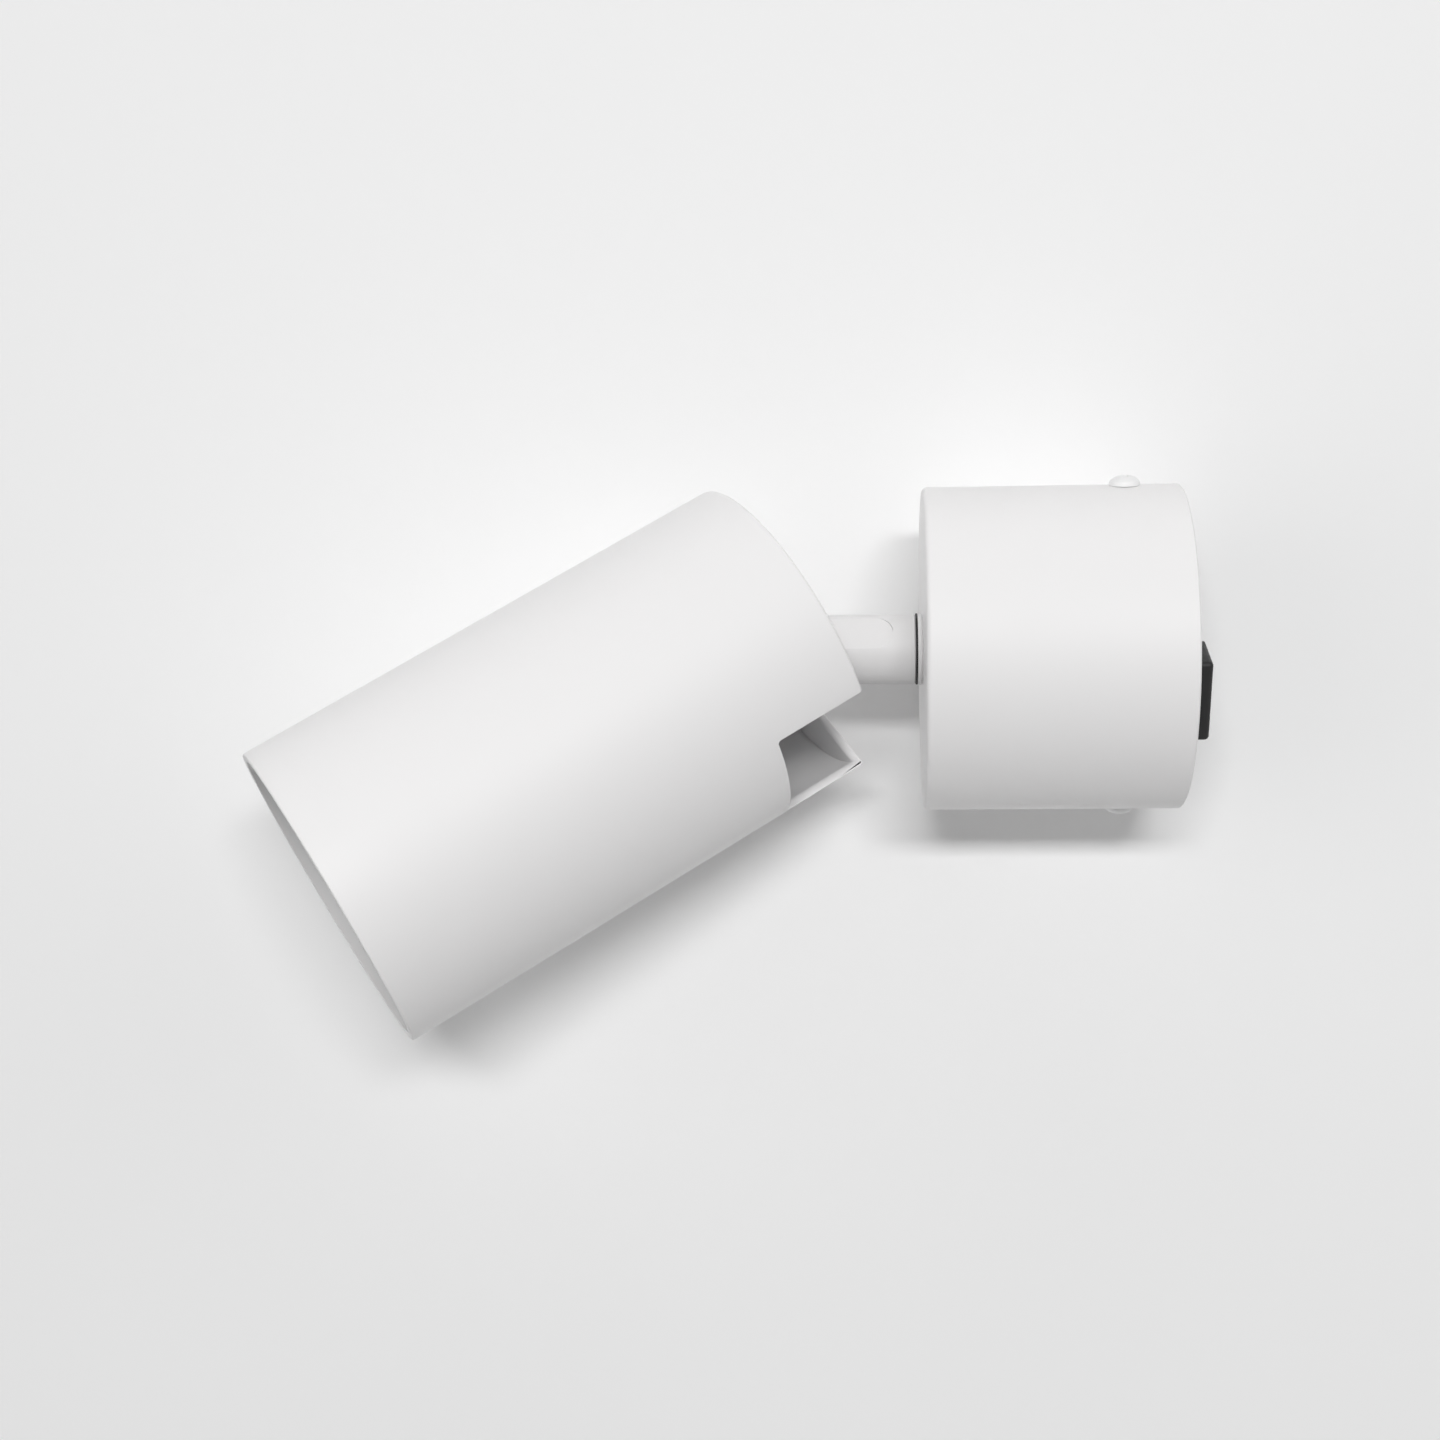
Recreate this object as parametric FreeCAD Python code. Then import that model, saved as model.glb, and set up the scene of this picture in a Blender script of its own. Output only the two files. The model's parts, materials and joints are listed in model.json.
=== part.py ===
"""Surface mounted ceiling spotlight: canopy, swivel stem and tilting lamp head.

Millimetres and degrees. The origin is the middle of the ceiling plane, +Z points up
into the ceiling, and the canopy hangs below it along -Z. The slots for the ceiling screws
lie on the X axis. The head is shown at its resting aim.

Pieces of the swivel are drawn with the tilt plane along +X and turned by head_lean.
Pieces of the head are drawn hanging straight down with the pivot at the origin, their
rear towards +Z and the rim notch towards +X, and are tilted and moved at the end.
"""
import FreeCAD, Part
import math
import os

Vec = FreeCAD.Vector
X_AXIS = Vec(1, 0, 0)
Y_AXIS = Vec(0, 1, 0)
Z_AXIS = Vec(0, 0, 1)
ORIGIN = Vec(0, 0, 0)

# ---- resting aim -------------------------------------------------------------------
head_tilt = 34.7
head_lean = -30.2
tilt_travel = 90.0

# ---- canopy ------------------------------------------------------------------------
canopy_diameter = 60.0
canopy_height = 47.0
canopy_wall = 1.5
canopy_floor = 2.0
canopy_edge_radius = 1.0
canopy_rim_chamfer = 0.3
side_screw_drop = 10.2
side_screw_turn = 13.0

# ---- ceiling bracket, pressed from sheet ---------------------------------------------
bracket_thickness = 1.5
bracket_width = 16.0
bracket_bend_radius = 1.0
bracket_corner_radius = 1.2
ear_width = 10.0
ear_leg = 4.0
ear_below_screw = 5.0
ear_thread_collar = 1.2
ear_thread_collar_wall = 0.9
ceiling_slot_spacing = 34.0
ceiling_slot_width = 4.5
ceiling_slot_length = 9.0
earth_tab_width = 10.0
earth_tab_reach = 15.5
earth_tab_drop = 13.0

# ---- cable bushing in the middle of the bracket ------------------------------------------
cable_bore_diameter = 8.0
bushing_wall = 2.0
bushing_flange_width = 1.5
bushing_flange_thickness = 1.2

# ---- terminal block ------------------------------------------------------------------
terminal_width = 15.0
terminal_depth = 10.5
terminal_height = 18.0
terminal_turn = 25.0
terminal_rise = 2.8
terminal_corner_radius = 0.8
terminal_back_x = 6.2
terminal_back_y = -12.35
terminal_pitch = 8.4
terminal_tab_width = 9.0
terminal_tab_drop = 14.0
sleeve_diameter = 4.5
sleeve_bore = 3.0
sleeve_length = 13.0
clamp_screw_spacing = 7.0
clamp_screw_diameter = 2.5
clamp_screw_length = 2.6

# ---- swivel ----------------------------------------------------------------------------
stem_diameter = 13.0
stem_flat_width = 11.2
stem_flat_start = 4.0
stem_bore = 6.0
pivot_drop = 32.9
collar_diameter = 13.3
collar_washer_thickness = 0.9
collar_relief = 0.3
shoulder_chamfer = 0.25
friction_ring_thickness = 0.6
spigot_diameter = 10.0
spigot_key_width = 8.8
spigot_end = 1.5
wire_window_height = 8.0
wire_window_above_pivot = 9.0
slip_washer_diameter = 17.0
slip_washer_thickness = 0.8
stop_washer_diameter = 17.0
stop_washer_thickness = 1.2
stop_tab_width = 2.5
stop_tab_reach = 14.0
stop_lug_width = 2.0
stop_lug_inner_radius = 11.5
stop_lug_length = 3.0
stop_lug_azimuth = -90.0
disc_spring_diameter = 18.0
disc_spring_thickness = 0.7
disc_spring_height = 1.4
stem_nut_flats = 14.0
stem_nut_height = 4.0

# ---- knuckle -----------------------------------------------------------------------------
cheek_thickness = 3.0
fork_base_thickness = 3.0
fork_floor_gap = 3.5
friction_washer_thickness = 0.5
friction_washer_diameter = 9.8
pivot_diameter = 4.0
pivot_washer_diameter = 9.0
pivot_washer_thickness = 0.8
pivot_nut_flats = 7.0
pivot_nut_height = 4.0
pivot_nut_collar = 1.0
stop_pin_diameter = 2.0
stop_pin_circle = 6.3
stop_margin = 0.6

# ---- head ----------------------------------------------------------------------------------
head_diameter = 59.2
head_length = 98.0
head_wall = 1.5
head_rear_overhang = 8.3
head_rear_edge_radius = 0.7
head_front_edge_radius = 0.3
notch_width = 26.4
notch_depth = 18.2
notch_corner_radius = 0.6
slot_end_radius = 4.0
slot_end_gap = 1.0
bulkhead_thickness = 2.0
bulkhead_screw_length = 8.0
boss_overlap = 0.4
boss_angles = (95, 180, 265)
lead_bore = 4.0
grommet_wall = 1.0
grommet_flange_thickness = 1.2

# ---- lampholder and lamp -----------------------------------------------------------------
holder_diameter = 27.0
holder_width = 20.0
holder_height = 15.0
holder_face_thickness = 2.6
holder_pocket_depth = 9.0
holder_twist = 30.0
holder_screw_offset = 9.5
pin_spacing = 10.0
pin_neck_diameter = 2.6
pin_head_diameter = 5.0
pin_neck_length = 4.0
pin_length = 7.2
contact_length = 4.0
contact_width = 2.4
contact_height = 1.5
lamp_diameter = 50.0
lamp_base_diameter = 22.0
lamp_base_length = 6.0
lamp_lip_height = 7.0
lamp_lip_width = 2.0
lens_recess = 2.6
lens_thickness = 1.8

# ---- front baffle -------------------------------------------------------------------------
baffle_setback = 3.0
baffle_front_wall = 1.0
baffle_depth = 11.0
baffle_width = 5.9
baffle_steps = 6
o_ring_thickness = 1.6
o_ring_from_back = 5.0

# ---- fasteners ------------------------------------------------------------------------------
small_screw_diameter = 3.0
small_head_diameter = 5.5
small_head_height = 1.9
side_head_height = 2.0
side_screw_tip = 0.6
fixing_screw_diameter = 2.2
fixing_head_diameter = 4.0
earth_screw_diameter = 4.0
earth_head_diameter = 8.0
earth_head_height = 2.6
earth_screw_length = 6.0
earth_washer_thickness = 0.8
pivot_head_diameter = 8.0
pivot_head_height = 2.6
recess_share = 0.62
head_edge_share = 0.35

# ---- clearances -------------------------------------------------------------------------------
thread_clearance = 0.05
running_clearance = 0.06
through_clearance = 0.2
slip_clearance = 0.1
shell_clearance = 0.3
side_clearance = 0.35

# ---- derived places ------------------------------------------------------------------------
canopy_radius = canopy_diameter / 2
canopy_inner_radius = canopy_radius - canopy_wall
canopy_face_z = -canopy_height
canopy_floor_z = canopy_face_z + canopy_floor
ear_face_x = math.sqrt((canopy_inner_radius - shell_clearance) ** 2 - (ear_width / 2) ** 2)
collar_ring_z = canopy_face_z - collar_washer_thickness
shoulder_z = collar_ring_z - friction_ring_thickness
pivot_z = canopy_face_z - pivot_drop
stop_washer_z = canopy_floor_z + slip_washer_thickness
disc_spring_z = stop_washer_z + stop_washer_thickness
stem_nut_z = disc_spring_z + disc_spring_height
spigot_top_z = stem_nut_z + stem_nut_height + spigot_end

stem_radius = stem_diameter / 2
cheek_inner_y = stem_flat_width / 2 + friction_washer_thickness
cheek_outer_y = cheek_inner_y + cheek_thickness
fork_floor_z = -(stem_radius + fork_floor_gap)
bulkhead_z = fork_floor_z - fork_base_thickness
bulkhead_front_z = bulkhead_z - bulkhead_thickness
head_radius = head_diameter / 2
head_inner_radius = head_radius - head_wall
head_front_z = head_rear_overhang - head_length
small_head_radius = small_head_diameter / 2
head_end_z = head_rear_overhang - head_wall
bulkhead_screw_circle = head_inner_radius - small_head_radius - side_clearance
boss_radius = head_inner_radius - bulkhead_screw_circle + boss_overlap
boss_inner_radius = bulkhead_screw_circle - boss_radius
fork_screw_y = cheek_outer_y + small_head_radius + side_clearance
fork_base_y = fork_screw_y + small_head_radius + side_clearance
grommet_x = -(boss_inner_radius + holder_diameter / 2) / 2
grommet_flange_radius = (boss_inner_radius - holder_diameter / 2) / 2 - side_clearance
holder_face_z = bulkhead_front_z - holder_height
baffle_front_z = head_front_z + baffle_setback
lamp_front_z = baffle_front_z + baffle_depth
baffle_radius = head_inner_radius - slip_clearance
thread_hole_radius = small_screw_diameter / 2 + thread_clearance
through_hole_radius = small_screw_diameter / 2 + through_clearance


# ---- shaping helpers -------------------------------------------------------------------------
def rod(radius, low, high):
    """A round bar along Z."""
    return Part.makeCylinder(radius, high - low, Vec(0, 0, low))


def ring(outer, inner, low, high):
    """A flat ring or tube along Z."""
    return rod(outer, low, high).cut(rod(inner, low - 1, high + 1))


def bar(x_span, y_span, z_span):
    """A square-edged bar between three pairs of limits."""
    size = [high - low for low, high in (x_span, y_span, z_span)]
    return Part.makeBox(*size, Vec(x_span[0], y_span[0], z_span[0]))


def turned(points):
    """A turned piece from its half section, a closed line of (radius, z) points."""
    corners = [Vec(radius, 0, z) for radius, z in points]
    section = Part.Face(Part.makePolygon(corners + corners[:1]))
    return section.revolve(ORIGIN, Z_AXIS, 360)


def joined(pieces):
    """One solid out of several that overlap or share faces."""
    whole = pieces[0]
    for piece in pieces[1:]:
        whole = whole.fuse(piece)
    return whole.removeSplitter()


def without(piece, cutters):
    """The piece after all its cuts."""
    return piece.cut(Part.makeCompound(cutters))


def moved(shape, x=0.0, y=0.0, z=0.0):
    """A copy moved by the given distances."""
    copy = shape.copy()
    copy.translate(Vec(x, y, z))
    return copy


def spun(shape, axis, angle):
    """A copy turned about an axis through the origin."""
    copy = shape.copy()
    copy.rotate(ORIGIN, axis, angle)
    return copy


def rounded(shape, radius, chosen):
    """Fillet the edges that the test picks."""
    return shape.makeFillet(radius, [edge for edge in shape.Edges if chosen(edge)])


def circle_at(radius, z):
    """A test that picks the round edge of one radius at one height."""
    def chosen(edge):
        box = edge.BoundBox
        flat = abs(box.ZMin - z) < 1e-4 and abs(box.ZMax - z) < 1e-4
        return flat and abs(box.XLength / 2 - radius) < 1e-4
    return chosen


def upright(edge):
    """A test that picks straight edges along Z."""
    box = edge.BoundBox
    return box.ZLength > 1e-3 and box.XLength < 1e-4 and box.YLength < 1e-4


def section_prism(edges, direction):
    """A solid swept straight along a direction from a closed outline."""
    return Part.Face(Part.Wire(Part.__sortEdges__(edges))).extrude(direction)


def arc(start, middle, end):
    """A round edge through three points."""
    return Part.Arc(start, middle, end).toShape()


def hexagon(flats, low, high):
    """A hexagonal bar along Z."""
    corner = flats / math.sqrt(3)
    points = [Vec(corner * math.cos(math.radians(a)), corner * math.sin(math.radians(a)), low)
              for a in range(0, 361, 60)]
    return Part.Face(Part.makePolygon(points)).extrude(Vec(0, 0, high - low))


def arc_slot(path_radius, width, first, last, low, high):
    """A curved slot round the Z axis with round ends."""
    half = width / 2
    corners = [Vec(path_radius - half, 0, low), Vec(path_radius + half, 0, low),
               Vec(path_radius + half, 0, high), Vec(path_radius - half, 0, high)]
    section = Part.Face(Part.makePolygon(corners + corners[:1]))
    sweep = spun(section.revolve(ORIGIN, Z_AXIS, last - first), Z_AXIS, first)
    end = moved(rod(half, low, high), x=path_radius)
    return joined([sweep, spun(end, Z_AXIS, first), spun(end, Z_AXIS, last)])


def screw(diameter, length, head_diameter, head_height, slotted=False):
    """A pan head screw whose shank runs down from z = 0 and whose head stands above it."""
    radius = head_diameter / 2
    edge = head_height * head_edge_share
    rise = head_height - edge
    dome_radius = (radius ** 2 + rise ** 2) / (2 * rise)
    lean = math.asin(radius / dome_radius) / 2
    crown = Vec(dome_radius * math.sin(lean), 0, head_height - dome_radius * (1 - math.cos(lean)))
    outline = [Part.makeLine(ORIGIN, Vec(radius, 0, 0)),
               Part.makeLine(Vec(radius, 0, 0), Vec(radius, 0, edge)),
               arc(Vec(radius, 0, edge), crown, Vec(0, 0, head_height)),
               Part.makeLine(Vec(0, 0, head_height), ORIGIN)]
    head = Part.Face(Part.Wire(outline)).revolve(ORIGIN, Z_AXIS, 360)
    reach = radius * recess_share
    blade = head_height / 4
    depth = head_height * recess_share
    slot_span = (head_height - depth, head_height + 1)
    cuts = [bar((-reach, reach), (-blade, blade), slot_span)]
    if slotted:
        cuts = [bar((-radius, radius), (-blade, blade), slot_span)]
    else:
        cuts.append(bar((-blade, blade), (-reach, reach), slot_span))
    return joined([without(head, cuts), rod(diameter / 2, -length, 0)])


def bent_tab(width, leg, drop):
    """Sheet that runs level to its bend and then down, its outer face at x = 0."""
    sheet = bracket_thickness
    turn = bracket_bend_radius + sheet
    bend = Vec(-turn, 0, -turn)
    diagonal = math.sqrt(0.5)
    outer = bend + Vec(turn * diagonal, 0, turn * diagonal)
    inner = bend + Vec(bracket_bend_radius * diagonal, 0, bracket_bend_radius * diagonal)
    outline = [Part.makeLine(Vec(-leg, 0, 0), Vec(-turn, 0, 0)),
               arc(Vec(-turn, 0, 0), outer, Vec(0, 0, -turn)),
               Part.makeLine(Vec(0, 0, -turn), Vec(0, 0, -drop)),
               Part.makeLine(Vec(0, 0, -drop), Vec(-sheet, 0, -drop)),
               Part.makeLine(Vec(-sheet, 0, -drop), Vec(-sheet, 0, -turn)),
               arc(Vec(-sheet, 0, -turn), inner, Vec(-turn, 0, -sheet)),
               Part.makeLine(Vec(-turn, 0, -sheet), Vec(-leg, 0, -sheet)),
               Part.makeLine(Vec(-leg, 0, -sheet), Vec(-leg, 0, 0))]
    tab = moved(section_prism(outline, Vec(0, width, 0)), y=-width / 2)
    lower_corners = [edge for edge in tab.Edges
                     if abs(edge.BoundBox.ZMax + drop) < 1e-4 and edge.BoundBox.XLength > 1e-3]
    return tab.makeFillet(bracket_corner_radius, lower_corners)


# ---- where groups of pieces sit -----------------------------------------------------------
def on_swivel(shape):
    """Turn a swivel piece to the resting lean."""
    return spun(shape, Z_AXIS, head_lean)


def on_head(shape):
    """Tilt a head piece, turn it to the resting lean and hang it on the pivot."""
    tilted = spun(shape, Y_AXIS, -head_tilt)
    return moved(spun(tilted, Z_AXIS, head_lean), z=pivot_z)


def on_terminal(shape):
    """Place a piece drawn round the middle of the terminal block."""
    sunk = moved(shape, y=-terminal_depth / 2, z=terminal_rise - terminal_height / 2)
    return moved(spun(sunk, Z_AXIS, terminal_turn), terminal_back_x, terminal_back_y)


def facing_out(shape, sign):
    """Turn a piece drawn along Z so that its top points along +X or -X."""
    return spun(shape, Y_AXIS, 90 * sign)


# ---- canopy group ----------------------------------------------------------------------------
def canopy_shell():
    """Drawn cup with a hole for the stem, two side holes and the rotation stop lug."""
    cup = turned([(0, canopy_face_z), (canopy_radius, canopy_face_z), (canopy_radius, 0),
                  (canopy_inner_radius, 0), (canopy_inner_radius, canopy_floor_z),
                  (0, canopy_floor_z)])
    cup = rounded(cup, canopy_edge_radius, circle_at(canopy_radius, canopy_face_z))
    rim = [edge for edge in cup.Edges if circle_at(canopy_radius, 0)(edge)]
    cup = cup.makeChamfer(canopy_rim_chamfer, rim)
    lug_top = disc_spring_z + stop_washer_thickness / 2
    lug = bar((stop_lug_inner_radius, stop_lug_inner_radius + stop_lug_length),
              (-stop_lug_width / 2, stop_lug_width / 2), (canopy_floor_z - 0.5, lug_top))
    lug = spun(lug, Z_AXIS, stop_lug_azimuth)
    stem_hole = rod(spigot_diameter / 2 + slip_clearance, canopy_face_z - 1, canopy_floor_z + 1)
    side_hole = Part.makeCylinder(through_hole_radius, canopy_diameter + 2,
                                  Vec(-canopy_radius - 1, 0, -side_screw_drop), X_AXIS)
    return without(joined([cup, lug]), [stem_hole, spun(side_hole, Z_AXIS, side_screw_turn)])


def bracket_ears():
    """The two threaded ears that the canopy is screwed to."""
    ears = []
    collar_radius = thread_hole_radius + ear_thread_collar_wall
    collar = ring(collar_radius, thread_hole_radius,
                  ear_face_x - bracket_thickness - ear_thread_collar, ear_face_x - bracket_thickness)
    collar = moved(facing_out(collar, 1), z=-side_screw_drop)
    turn = bracket_bend_radius + bracket_thickness
    ear = bent_tab(ear_width, turn + ear_leg, side_screw_drop + ear_below_screw)
    ear = joined([moved(ear, x=ear_face_x), collar])
    for angle in (side_screw_turn, side_screw_turn + 180):
        ears.append(spun(ear, Z_AXIS, angle))
    return ears


def terminal_wing():
    """The arm and bent tab that carry the terminal block clear of the cable hole."""
    turn = bracket_bend_radius + bracket_thickness
    tab = bent_tab(terminal_tab_width, turn + 1, terminal_tab_drop)
    tab = moved(spun(tab, Z_AXIS, terminal_turn - 90), terminal_back_x, terminal_back_y)
    out = Vec(math.sin(math.radians(terminal_turn)), -math.cos(math.radians(terminal_turn)), 0)
    along = Vec(-out.y, out.x, 0)
    middle = Vec(terminal_back_x, terminal_back_y, 0) - out * turn
    near = middle - along * (terminal_tab_width / 2)
    far = middle + along * (terminal_tab_width / 2)
    inside_y = -bracket_width / 2 + 1
    points = [Vec(near.x, inside_y, 0), near, far, Vec(far.x, inside_y, 0)]
    arm = Part.Face(Part.makePolygon(points + points[:1])).extrude(Vec(0, 0, -bracket_thickness))
    return joined([tab, arm])


def earth_tab():
    """The bent tab that takes the earth screw."""
    leg = earth_tab_reach - bracket_width / 2 + 1
    tab = bent_tab(earth_tab_width, leg, earth_tab_drop)
    return moved(spun(tab, Z_AXIS, 90), y=earth_tab_reach)


def earth_screw_z():
    """Height of the earth screw on its tab."""
    return -(earth_tab_drop + bracket_thickness) / 2


def ceiling_bracket():
    """Pressed strap with slots for the ceiling screws and four bent tabs."""
    turn = bracket_bend_radius + bracket_thickness
    half_length = ear_face_x - turn
    half_width = bracket_width / 2
    strap = bar((-half_length, half_length), (-half_width, half_width), (-bracket_thickness, 0))
    strap = rounded(strap, bracket_corner_radius, upright)
    plate = joined([strap, terminal_wing(), earth_tab()] + bracket_ears())
    cuts = [rod(cable_bore_diameter / 2 + bushing_wall + thread_clearance, -bracket_thickness - 1, 1)]
    slot_run = (ceiling_slot_length - ceiling_slot_width) / 2
    for side in (-1, 1):
        middle = side * ceiling_slot_spacing / 2
        slot = bar((middle - slot_run, middle + slot_run),
                   (-ceiling_slot_width / 2, ceiling_slot_width / 2), (-bracket_thickness - 1, 1))
        cuts.append(slot)
        for end in (-slot_run, slot_run):
            cuts.append(moved(rod(ceiling_slot_width / 2, -bracket_thickness - 1, 1), x=middle + end))
    side_hole = Part.makeCylinder(thread_hole_radius, 2 * ear_face_x + 2,
                                  Vec(-ear_face_x - 1, 0, -side_screw_drop), X_AXIS)
    side_hole = spun(side_hole, Z_AXIS, side_screw_turn)
    earth_hole = Part.makeCylinder(earth_screw_diameter / 2 + thread_clearance, 2 * bracket_thickness,
                                   Vec(0, earth_tab_reach - 1.5 * bracket_thickness, earth_screw_z()),
                                   Y_AXIS)
    fixing_hole = rod(fixing_screw_diameter / 2 + thread_clearance, -2 * bracket_thickness,
                      2 * bracket_thickness)
    fixing_hole = moved(spun(fixing_hole, X_AXIS, 90), y=terminal_depth / 2)
    return without(plate, cuts + [side_hole, earth_hole, on_terminal(fixing_hole)])


def canopy_screws():
    """The two screws that hold the canopy to the bracket's ears."""
    length = canopy_radius - ear_face_x + bracket_thickness + ear_thread_collar + side_screw_tip
    piece = screw(small_screw_diameter, length, small_head_diameter, side_head_height)
    one = moved(facing_out(piece, 1), x=canopy_radius, z=-side_screw_drop)
    return Part.makeCompound([spun(one, Z_AXIS, side_screw_turn),
                              spun(one, Z_AXIS, side_screw_turn + 180)])


def cable_bushing():
    """Snap-in plastic bushing that guards the supply cable."""
    bore = cable_bore_diameter / 2
    barrel = bore + bushing_wall
    flange_low = -bracket_thickness - bushing_flange_thickness
    return turned([(bore, flange_low), (barrel + bushing_flange_width, flange_low),
                   (barrel + bushing_flange_width, -bracket_thickness),
                   (barrel, -bracket_thickness), (barrel, 0), (bore, 0)])


def earth_screw():
    """Earth screw on its tab."""
    piece = screw(earth_screw_diameter, earth_screw_length, earth_head_diameter, earth_head_height)
    return moved(spun(piece, X_AXIS, -90), y=earth_tab_reach + earth_washer_thickness,
                 z=earth_screw_z())


def earth_washer():
    """Washer that clamps the earth lead."""
    washer = ring(earth_head_diameter / 2 + bracket_thickness / 3,
                  earth_screw_diameter / 2 + through_clearance, 0, earth_washer_thickness)
    return moved(spun(washer, X_AXIS, -90), y=earth_tab_reach, z=earth_screw_z())


# ---- terminal block group, drawn round its own middle -----------------------------------------
def pole_places():
    """Middle of each pole along the block."""
    return [-terminal_pitch / 2, terminal_pitch / 2]


def clamp_places():
    """Middle of each clamp screw, along the block and up it."""
    return [(x, z) for x in pole_places() for z in (-clamp_screw_spacing / 2, clamp_screw_spacing / 2)]


def terminal_block():
    """Moulded two-pole block with a bore for each sleeve and wells for the clamp screws."""
    half_w = terminal_width / 2
    half_d = terminal_depth / 2
    half_h = terminal_height / 2
    body = bar((-half_w, half_w), (-half_d, half_d), (-half_h, half_h))
    body = rounded(body, terminal_corner_radius, lambda edge: edge.BoundBox.YMin < half_d - 1e-3
                   or upright(edge))
    cuts = [moved(rod(sleeve_diameter / 2 + thread_clearance, -half_h - 1, half_h + 1), x=x)
            for x in pole_places()]
    well_radius = clamp_screw_diameter / 2 + through_clearance
    for x, z in clamp_places():
        cuts.append(Part.makeCylinder(well_radius, half_d + 1, Vec(x, -half_d - 1, z), Y_AXIS))
    fixing = fixing_screw_diameter / 2 + thread_clearance
    cuts.append(Part.makeCylinder(fixing, terminal_depth + 2, Vec(0, -half_d - 1, 0), Y_AXIS))
    well = fixing_head_diameter / 2 + through_clearance
    cuts.append(Part.makeCylinder(well, half_d / 2 + 1, Vec(0, -half_d - 1, 0), Y_AXIS))
    return without(body, cuts)


def terminal_sleeves():
    """One brass sleeve for each pole, with two clamp screw holes."""
    sleeves = []
    for x in pole_places():
        sleeve = moved(ring(sleeve_diameter / 2, sleeve_bore / 2, -sleeve_length / 2, sleeve_length / 2),
                       x=x)
        holes = [Part.makeCylinder(clamp_screw_diameter / 2 + thread_clearance, sleeve_diameter,
                                   Vec(place, -sleeve_diameter, z), Y_AXIS)
                 for place, z in clamp_places() if place == x]
        sleeves.append(without(sleeve, holes))
    return Part.makeCompound(sleeves)


def terminal_screws():
    """The slotted clamp screws of the poles."""
    screws = []
    tip_y = -sleeve_bore / 2
    for x, z in clamp_places():
        body = Part.makeCylinder(clamp_screw_diameter / 2, clamp_screw_length,
                                 Vec(x, tip_y - clamp_screw_length, z), Y_AXIS)
        blade = clamp_screw_diameter / 10
        top_y = tip_y - clamp_screw_length
        slot = bar((x - clamp_screw_diameter, x + clamp_screw_diameter),
                   (top_y - 1, top_y + clamp_screw_length / 4), (z - blade, z + blade))
        screws.append(body.cut(slot))
    return Part.makeCompound(screws)


def terminal_fixing_screw():
    """The screw that holds the block to its tab."""
    seat = terminal_depth * 3 / 4
    head_height = terminal_depth / 6
    piece = screw(fixing_screw_diameter, seat + bracket_thickness, fixing_head_diameter, head_height)
    return moved(spun(piece, X_AXIS, 90), y=terminal_depth / 2 - seat)


# ---- swivel group --------------------------------------------------------------------------------
def collar_washer():
    """White washer between the canopy and the friction ring, relieved beside the canopy."""
    inner = spigot_diameter / 2 + slip_clearance
    outer = collar_diameter / 2
    return turned([(inner, collar_ring_z), (outer, collar_ring_z),
                   (outer, canopy_face_z - collar_relief), (outer - collar_relief, canopy_face_z),
                   (inner, canopy_face_z)])


def friction_ring():
    """Black plastic ring that the stem's shoulder turns on."""
    return ring(collar_diameter / 2, spigot_diameter / 2 + slip_clearance, shoulder_z, collar_ring_z)


def flat_cutter(side):
    """Milling path of one flat of the stem, with a round run-out at its top."""
    flat_y = stem_flat_width / 2
    half_chord = math.sqrt(stem_radius ** 2 - flat_y ** 2)
    top_z = shoulder_z - stem_flat_start - half_chord
    depth = stem_radius
    low_y = min(side * flat_y, side * (flat_y + depth))
    path = bar((-stem_radius, stem_radius), (low_y, low_y + depth),
               (pivot_z - stem_diameter, top_z))
    mill = Part.makeCylinder(half_chord, depth, Vec(0, low_y, top_z), Y_AXIS)
    return path.fuse(mill)


def limit_groove():
    """Groove round the stem's end in which the stop pin travels."""
    inner = stop_pin_circle - stop_pin_diameter / 2 - through_clearance
    outer = stem_radius + 1
    spread = math.degrees(math.asin(stop_pin_diameter / 2 / stop_pin_circle)) + stop_margin
    half_sweep = tilt_travel / 2 + spread
    corners = [Vec(inner, -stem_radius, 0), Vec(outer, -stem_radius, 0),
               Vec(outer, stem_radius, 0), Vec(inner, stem_radius, 0)]
    section = Part.Face(Part.makePolygon(corners + corners[:1]))
    sector = section.revolve(ORIGIN, Y_AXIS, 2 * half_sweep)
    return moved(spun(sector, Y_AXIS, 90 - half_sweep), z=pivot_z)


def swivel_stem():
    """Turned stem: keyed hollow spigot, round neck, milled flats and pivot eye."""
    neck = rod(stem_radius, pivot_z - stem_radius, shoulder_z)
    shoulder = circle_at(stem_radius, shoulder_z)
    neck = neck.makeChamfer(shoulder_chamfer, [edge for edge in neck.Edges if shoulder(edge)])
    eye = Part.makeCylinder(stem_radius, stem_diameter, Vec(0, -stem_radius, pivot_z), Y_AXIS)
    upper = bar((-stem_radius, stem_radius), (-stem_radius, stem_radius), (pivot_z, shoulder_z))
    neck = neck.common(eye.fuse(upper))
    spigot = rod(spigot_diameter / 2, shoulder_z, spigot_top_z)
    key = bar((-spigot_diameter, spigot_diameter), (-spigot_key_width / 2, spigot_key_width / 2),
              (canopy_floor_z, spigot_top_z + 1))
    keyed = spigot.common(joined([key, rod(spigot_diameter, shoulder_z - 1, canopy_floor_z)]))
    bore_end = pivot_z + wire_window_above_pivot
    bore = rod(stem_bore / 2, bore_end, spigot_top_z + 1)
    window = bar((-stem_diameter, 0), (-stem_bore / 2, stem_bore / 2),
                 (bore_end, bore_end + wire_window_height))
    pivot_hole = Part.makeCylinder(pivot_diameter / 2 + running_clearance, stem_diameter,
                                   Vec(0, -stem_radius, pivot_z), Y_AXIS)
    cuts = [flat_cutter(-1), flat_cutter(1), bore, window, pivot_hole, limit_groove()]
    return on_swivel(without(joined([neck, keyed]), cuts))


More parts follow.
